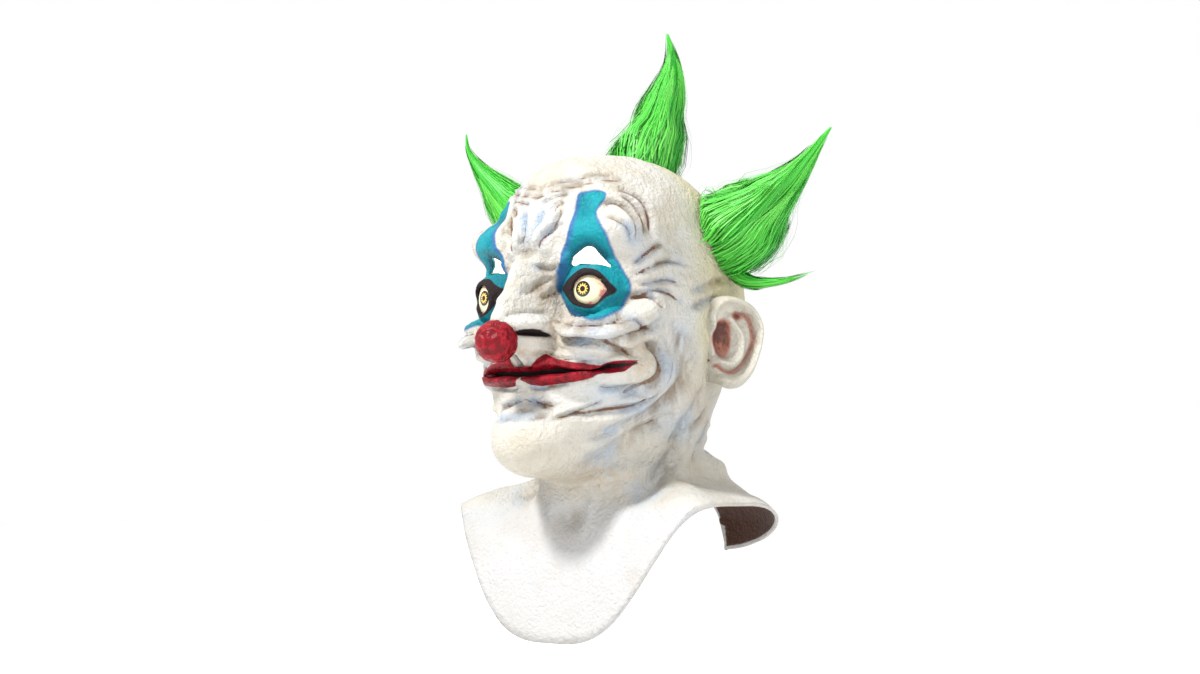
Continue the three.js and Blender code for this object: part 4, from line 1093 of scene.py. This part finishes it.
def latex():
    p = Paint("painted_latex")
    mottle, grain = p.noise(22, 4), p.noise(160, 5)
    streak = p.noise(90, 4, (1, 1, 0.35))
    edge = (p.noise(130, 3) - 0.5) * 2.0
    colour = p.layer(OFF_WHITE_LOW, OFF_WHITE, mottle.step(0.32, 0.56))
    colour = p.layer(colour, CREAM, p.field("cream") * mottle.step(0.1, 0.6) * 0.9)
    sky = p.field("airbrush") * (p.field("valley") * 1.2 + 0.5).low(1.0) * mottle.step(0.25, 0.60)
    colour = p.layer(colour, SKY, sky * 0.75)
    bib = p.field("bib")
    colour = p.layer(colour, NECK_SAND, (p.field("low") - bib) * mottle.step(0.2, 0.7) * 0.6)
    # The bib's faint blue-grey tint, with painted shade that dims it toward the hem.
    colour = p.layer(colour, BIB_TINT_AND_SHADE, bib * 0.6)
    # Sand wash, and painted shade under the chin.
    colour = p.layer(colour, SAND_WASH_AND_CHIN_SHADE, p.field("tan") * grain.step(0.35, 0.65) * 0.7)
    # Painted shade in the creases, pits and slot overhangs, mixed with a brown and blue wash.
    crease_wash_and_shade = p.field("valley") * streak.step(0.30, 0.62)
    # Painted shade: brown in the broad recesses round the eyes, nose, lips and chin.
    colour = p.layer(colour, HOLLOW_SHADE_BROWN, p.field("hollow") * streak.step(0.2, 0.7) * 0.55)
    shade = p.layer(WASH_AND_SHADE_BROWN, WASH_AND_SHADE_BLUE, p.noise(16, 2).step(0.44, 0.60))
    colour = p.layer(colour, shade, crease_wash_and_shade * (0.85 - p.field("low") * 0.35))
    ragged = (p.noise(240, 3) - 0.5) * 0.35
    wash = (p.field("brown") + ragged).step(0.52, 0.66) * p.noise(38, 4).step(0.44, 0.51)
    colour = p.layer(colour, STROKE_BROWN, wash * 0.9)
    cut = (p.field("brown") + edge * 0.03).step(0.46, 0.64) * p.noise(55, 3).step(0.30, 0.55)
    colour = p.layer(colour, CUT_BROWN, cut * 0.55)
    blue = p.field("blue") + edge * 0.7
    border = blue.step(-1.2, 1.2)
    colour = p.layer(colour, PATCH_EDGE, border * 0.95)
    teal = p.layer(TEAL_LOW, TEAL, mottle.step(0.3, 0.7))
    # The dark edge runs wider on the inner side, toward the nose, as painted shade in the socket's inner
    # corner.
    colour = p.layer(colour, teal, blue.step(0.5, 2.2 + p.field("inner_side") * 6.5))
    # Painted shade: dark teal in the creases and recesses inside the blue patches.
    fold = (p.field("valley") + p.field("hollow") * 0.7).low(1.0) * border
    colour = p.layer(colour, TEAL_SHADE, fold * 0.75)
    lips = p.field("lips") + edge * 0.5
    drawn = p.noise(120, 3, (1, 1, 0.25))
    crimson = p.layer(LIP_RED, LIP_DARK, drawn.step(0.4, 0.62))
    colour = p.layer(colour, crimson, lips.step(-0.3, 0.3))
    # The slit field also holds the nostrils, whose black is painted shade.
    mouth_line_and_nostril_shade = (p.field("slit") + edge * 0.5).step(-0.9, 0.3)
    lid_line = (p.field("almond") + edge * 0.25).step(-0.4, 0.4)
    black = mouth_line_and_nostril_shade.high(lid_line)
    colour = p.layer(colour, BLACK_LINE, black)
    redness = p.field("ear_red")
    blotch = (redness * p.noise(90, 5).step(0.25, 0.75)).step(0.25, 0.7)
    ear = p.layer(EAR_PINK, EAR_RED, blotch)
    # Painted shade darkens the red in the upper bowl and the fossa under the rim.
    deepest = redness.step(0.6, 1.0) * p.noise(60, 4).step(0.38, 0.6)
    ear = p.layer(ear, EAR_RED_SHADE, deepest * 0.85)
    colour = p.layer(colour, ear, redness.step(0.10, 0.75) * 0.92)
    # Painted shade: black at the ear canal.
    colour = p.layer(colour, EAR_CANAL_SHADE, redness.step(1.1, 1.3))
    within = p.field("inside")
    lining = p.layer(LINING_PALE, LINING_DARK, p.field("low"))
    colour = p.layer(colour, lining, within.step(0.35, 0.65))
    rough = 0.50 - border * 0.06 - lips.step(0, 1) * 0.14 + black * 0.25 + grain * 0.10
    height = grain * (0.75 - bib * 0.45) + streak * 0.4 + p.noise(340, 3) * 0.5
    normal = p.relief(height, 0.85, 0.0045)
    return p.finish(Base_Color=colour, Roughness=rough, Normal=normal, Specular_IOR_Level=0.13)


def eye_gloss():
    p = Paint("glossy_eye")
    x, z = p.field("iris_x"), p.field("iris_z")
    r = (x * x + z * z) ** 0.5
    turn = p.node("ShaderNodeMath", {"operation": "ARCTAN2"}, z, x)
    petal = p.node("ShaderNodeMath", {"operation": "COSINE"}, turn * 12.0)
    sclera = p.layer((0.52, 0.49, 0.31), (0.42, 0.44, 0.28), p.noise(60, 3).step(0.4, 0.6))
    vein = p.noise(150, 5).step(0.50, 0.60)
    rim = (((x - 2.5) / 13.0) ** 2.0 + ((z + 1.4) / 10.6) ** 2.0).step(0.62, 0.98)
    sclera = p.layer(sclera, (0.30, 0.03, 0.05), (rim * (vein * 0.6 + 0.4)).low(1.0) * 0.85)
    ring = p.layer(sclera, (0.004, 0.004, 0.004), 1.0 - r.step(6.6, 6.9))
    star = 1.0 - (r - petal * 0.9).step(3.9, 4.3)
    gold = p.layer((0.62, 0.42, 0.11), (0.52, 0.29, 0.05), r.step(2.5, 4.5))
    ring = p.layer(ring, gold, star)
    colour = p.layer(ring, (0.006, 0.005, 0.005), 1.0 - (r + petal * 0.2).step(2.3, 2.7))
    return p.finish(Base_Color=colour, Roughness=0.2, Coat_Weight=0.25, Specular_IOR_Level=0.3)


def nose_rubber():
    p = Paint("nose_rubber")
    # Painted shade: the red is darker down in the wrinkles and lighter on their ridges.
    deep = p.field("crumple").step(-0.7, -0.05)
    colour = p.layer((0.10, 0.001, 0.004), (0.20, 0.002, 0.009), deep)
    colour = p.layer(colour, (0.13, 0.001, 0.006), p.noise(45, 3).step(0.50, 0.75) * 0.5)
    normal = p.relief(p.noise(260, 5), 0.5, 0.0012)
    return p.finish(Base_Color=colour, Roughness=0.40, Normal=normal, Specular_IOR_Level=0.14)


def pile():
    p = Paint("green_pile")
    tone, along = p.field("tone"), p.field("along")
    colour = p.layer((0.009, 0.21, 0.012), (0.042, 0.36, 0.028), tone.step(0.05, 0.6))
    colour = p.layer(colour, (0.13, 0.48, 0.075), tone.step(0.5, 1.0) * 0.75)
    # Painted shade: the pile turns darker green near the roots.
    colour = p.layer(colour, (0.006, 0.20, 0.006), (1.0 - along.step(0.03, 0.16)) * 0.35)
    return p.finish(Base_Color=colour, Roughness=0.5, Specular_IOR_Level=0.3)


skin.data.materials.append(latex())
gloss = eye_gloss()
for eye in eyes:
    eye.data.materials.append(gloss)
nose.data.materials.append(nose_rubber())
green = pile()
for piece in hair.values():
    piece.data.materials.append(green)

# %% Seat every piece on the frame
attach(skin, "root")
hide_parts("latex_shell")
for eye, node in zip(eyes, ("eye_left", "eye_right")):
    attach(eye, "root")
    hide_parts(node)
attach(nose, "root")
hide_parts("nose_ball")
for node, piece in hair.items():
    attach(piece, "root")
    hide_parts(node)

# %% [markdown]
# A plain pale floor, a soft key from above the front, a weaker fill and a bright even surround
# give the flat studio light of a catalogue picture. A small lamp inside the head makes the
# lining behind the vision slots read pale. The lens sees the mask from its left front.

# %% Floor, light and camera
FLOOR_Z = -0.47
AZIMUTH, ELEVATION = np.radians(40.0), np.radians(-5.0)
TARGET = Vector((0, 0, -0.158))
DISTANCE = 1.65
PICTURE_WIDTH, PICTURE_MIDDLE = 1200, 600
TARGET_PIXEL = 614


def area_light(name, place, size, power, tint):
    light = bpy.data.lights.new(name, "AREA")
    light.size, light.energy, light.color = size, power, tint
    lamp = bpy.data.objects.new(name, light)
    bpy.context.scene.collection.objects.link(lamp)
    lamp.location = place
    lamp.rotation_euler = (TARGET - Vector(place)).to_track_quat("-Z", "Y").to_euler()
    return lamp


mesh = bpy.data.meshes.new("studio_floor")
mesh.from_pydata([(-9, -9, FLOOR_Z), (9, -9, FLOOR_Z), (9, 9, FLOOR_Z), (-9, 9, FLOOR_Z)], [],
                 [(0, 1, 2, 3)])
floor = bpy.data.objects.new("studio_floor", mesh)
bpy.context.scene.collection.objects.link(floor)
pale = Paint("pale_floor")
mesh.materials.append(pale.finish(Base_Color=pale.layer((0.985, 0.985, 0.985), (1.0, 1.0, 1.0),
                                                        pale.noise(6, 2)), Roughness=0.9))
world = bpy.data.worlds.new("studio")
world.use_nodes = True
world.node_tree.nodes["Background"].inputs["Color"].default_value = (1, 1, 1, 1)
world.node_tree.nodes["Background"].inputs["Strength"].default_value = 1.0
bpy.context.scene.world = world
bpy.context.scene.view_settings.view_transform = "Standard"
area_light("key", (-0.35, -1.8, 2.0), 0.4, 165, (1, 0.995, 0.98))
area_light("fill", (2.1, -0.7, 0.9), 1.0, 30, (1, 1, 1))
lamp = bpy.data.lights.new("hollow_glow", "POINT")
lamp.energy, lamp.shadow_soft_size = 1.6, 0.03
glow = bpy.data.objects.new("hollow_glow", lamp)
bpy.context.scene.collection.objects.link(glow)
glow.location = (0, 0.02, -0.11)

a, e = AZIMUTH, ELEVATION
back = Vector((np.sin(a) * np.cos(e), -np.cos(a) * np.cos(e), np.sin(e)))
lens = bpy.data.cameras.new("lens")
lens.lens, lens.sensor_width = 55.0, 36.0
lens.shift_x = -(TARGET_PIXEL - PICTURE_MIDDLE) / PICTURE_WIDTH
camera = bpy.data.objects.new("lens", lens)
bpy.context.scene.collection.objects.link(camera)
right = Vector((np.cos(a), np.sin(a), 0))
turn = Matrix((right, back.cross(right), back)).transposed().to_4x4()
camera.matrix_world = Matrix.Translation(TARGET + back * DISTANCE) @ turn
bpy.context.scene.camera = camera
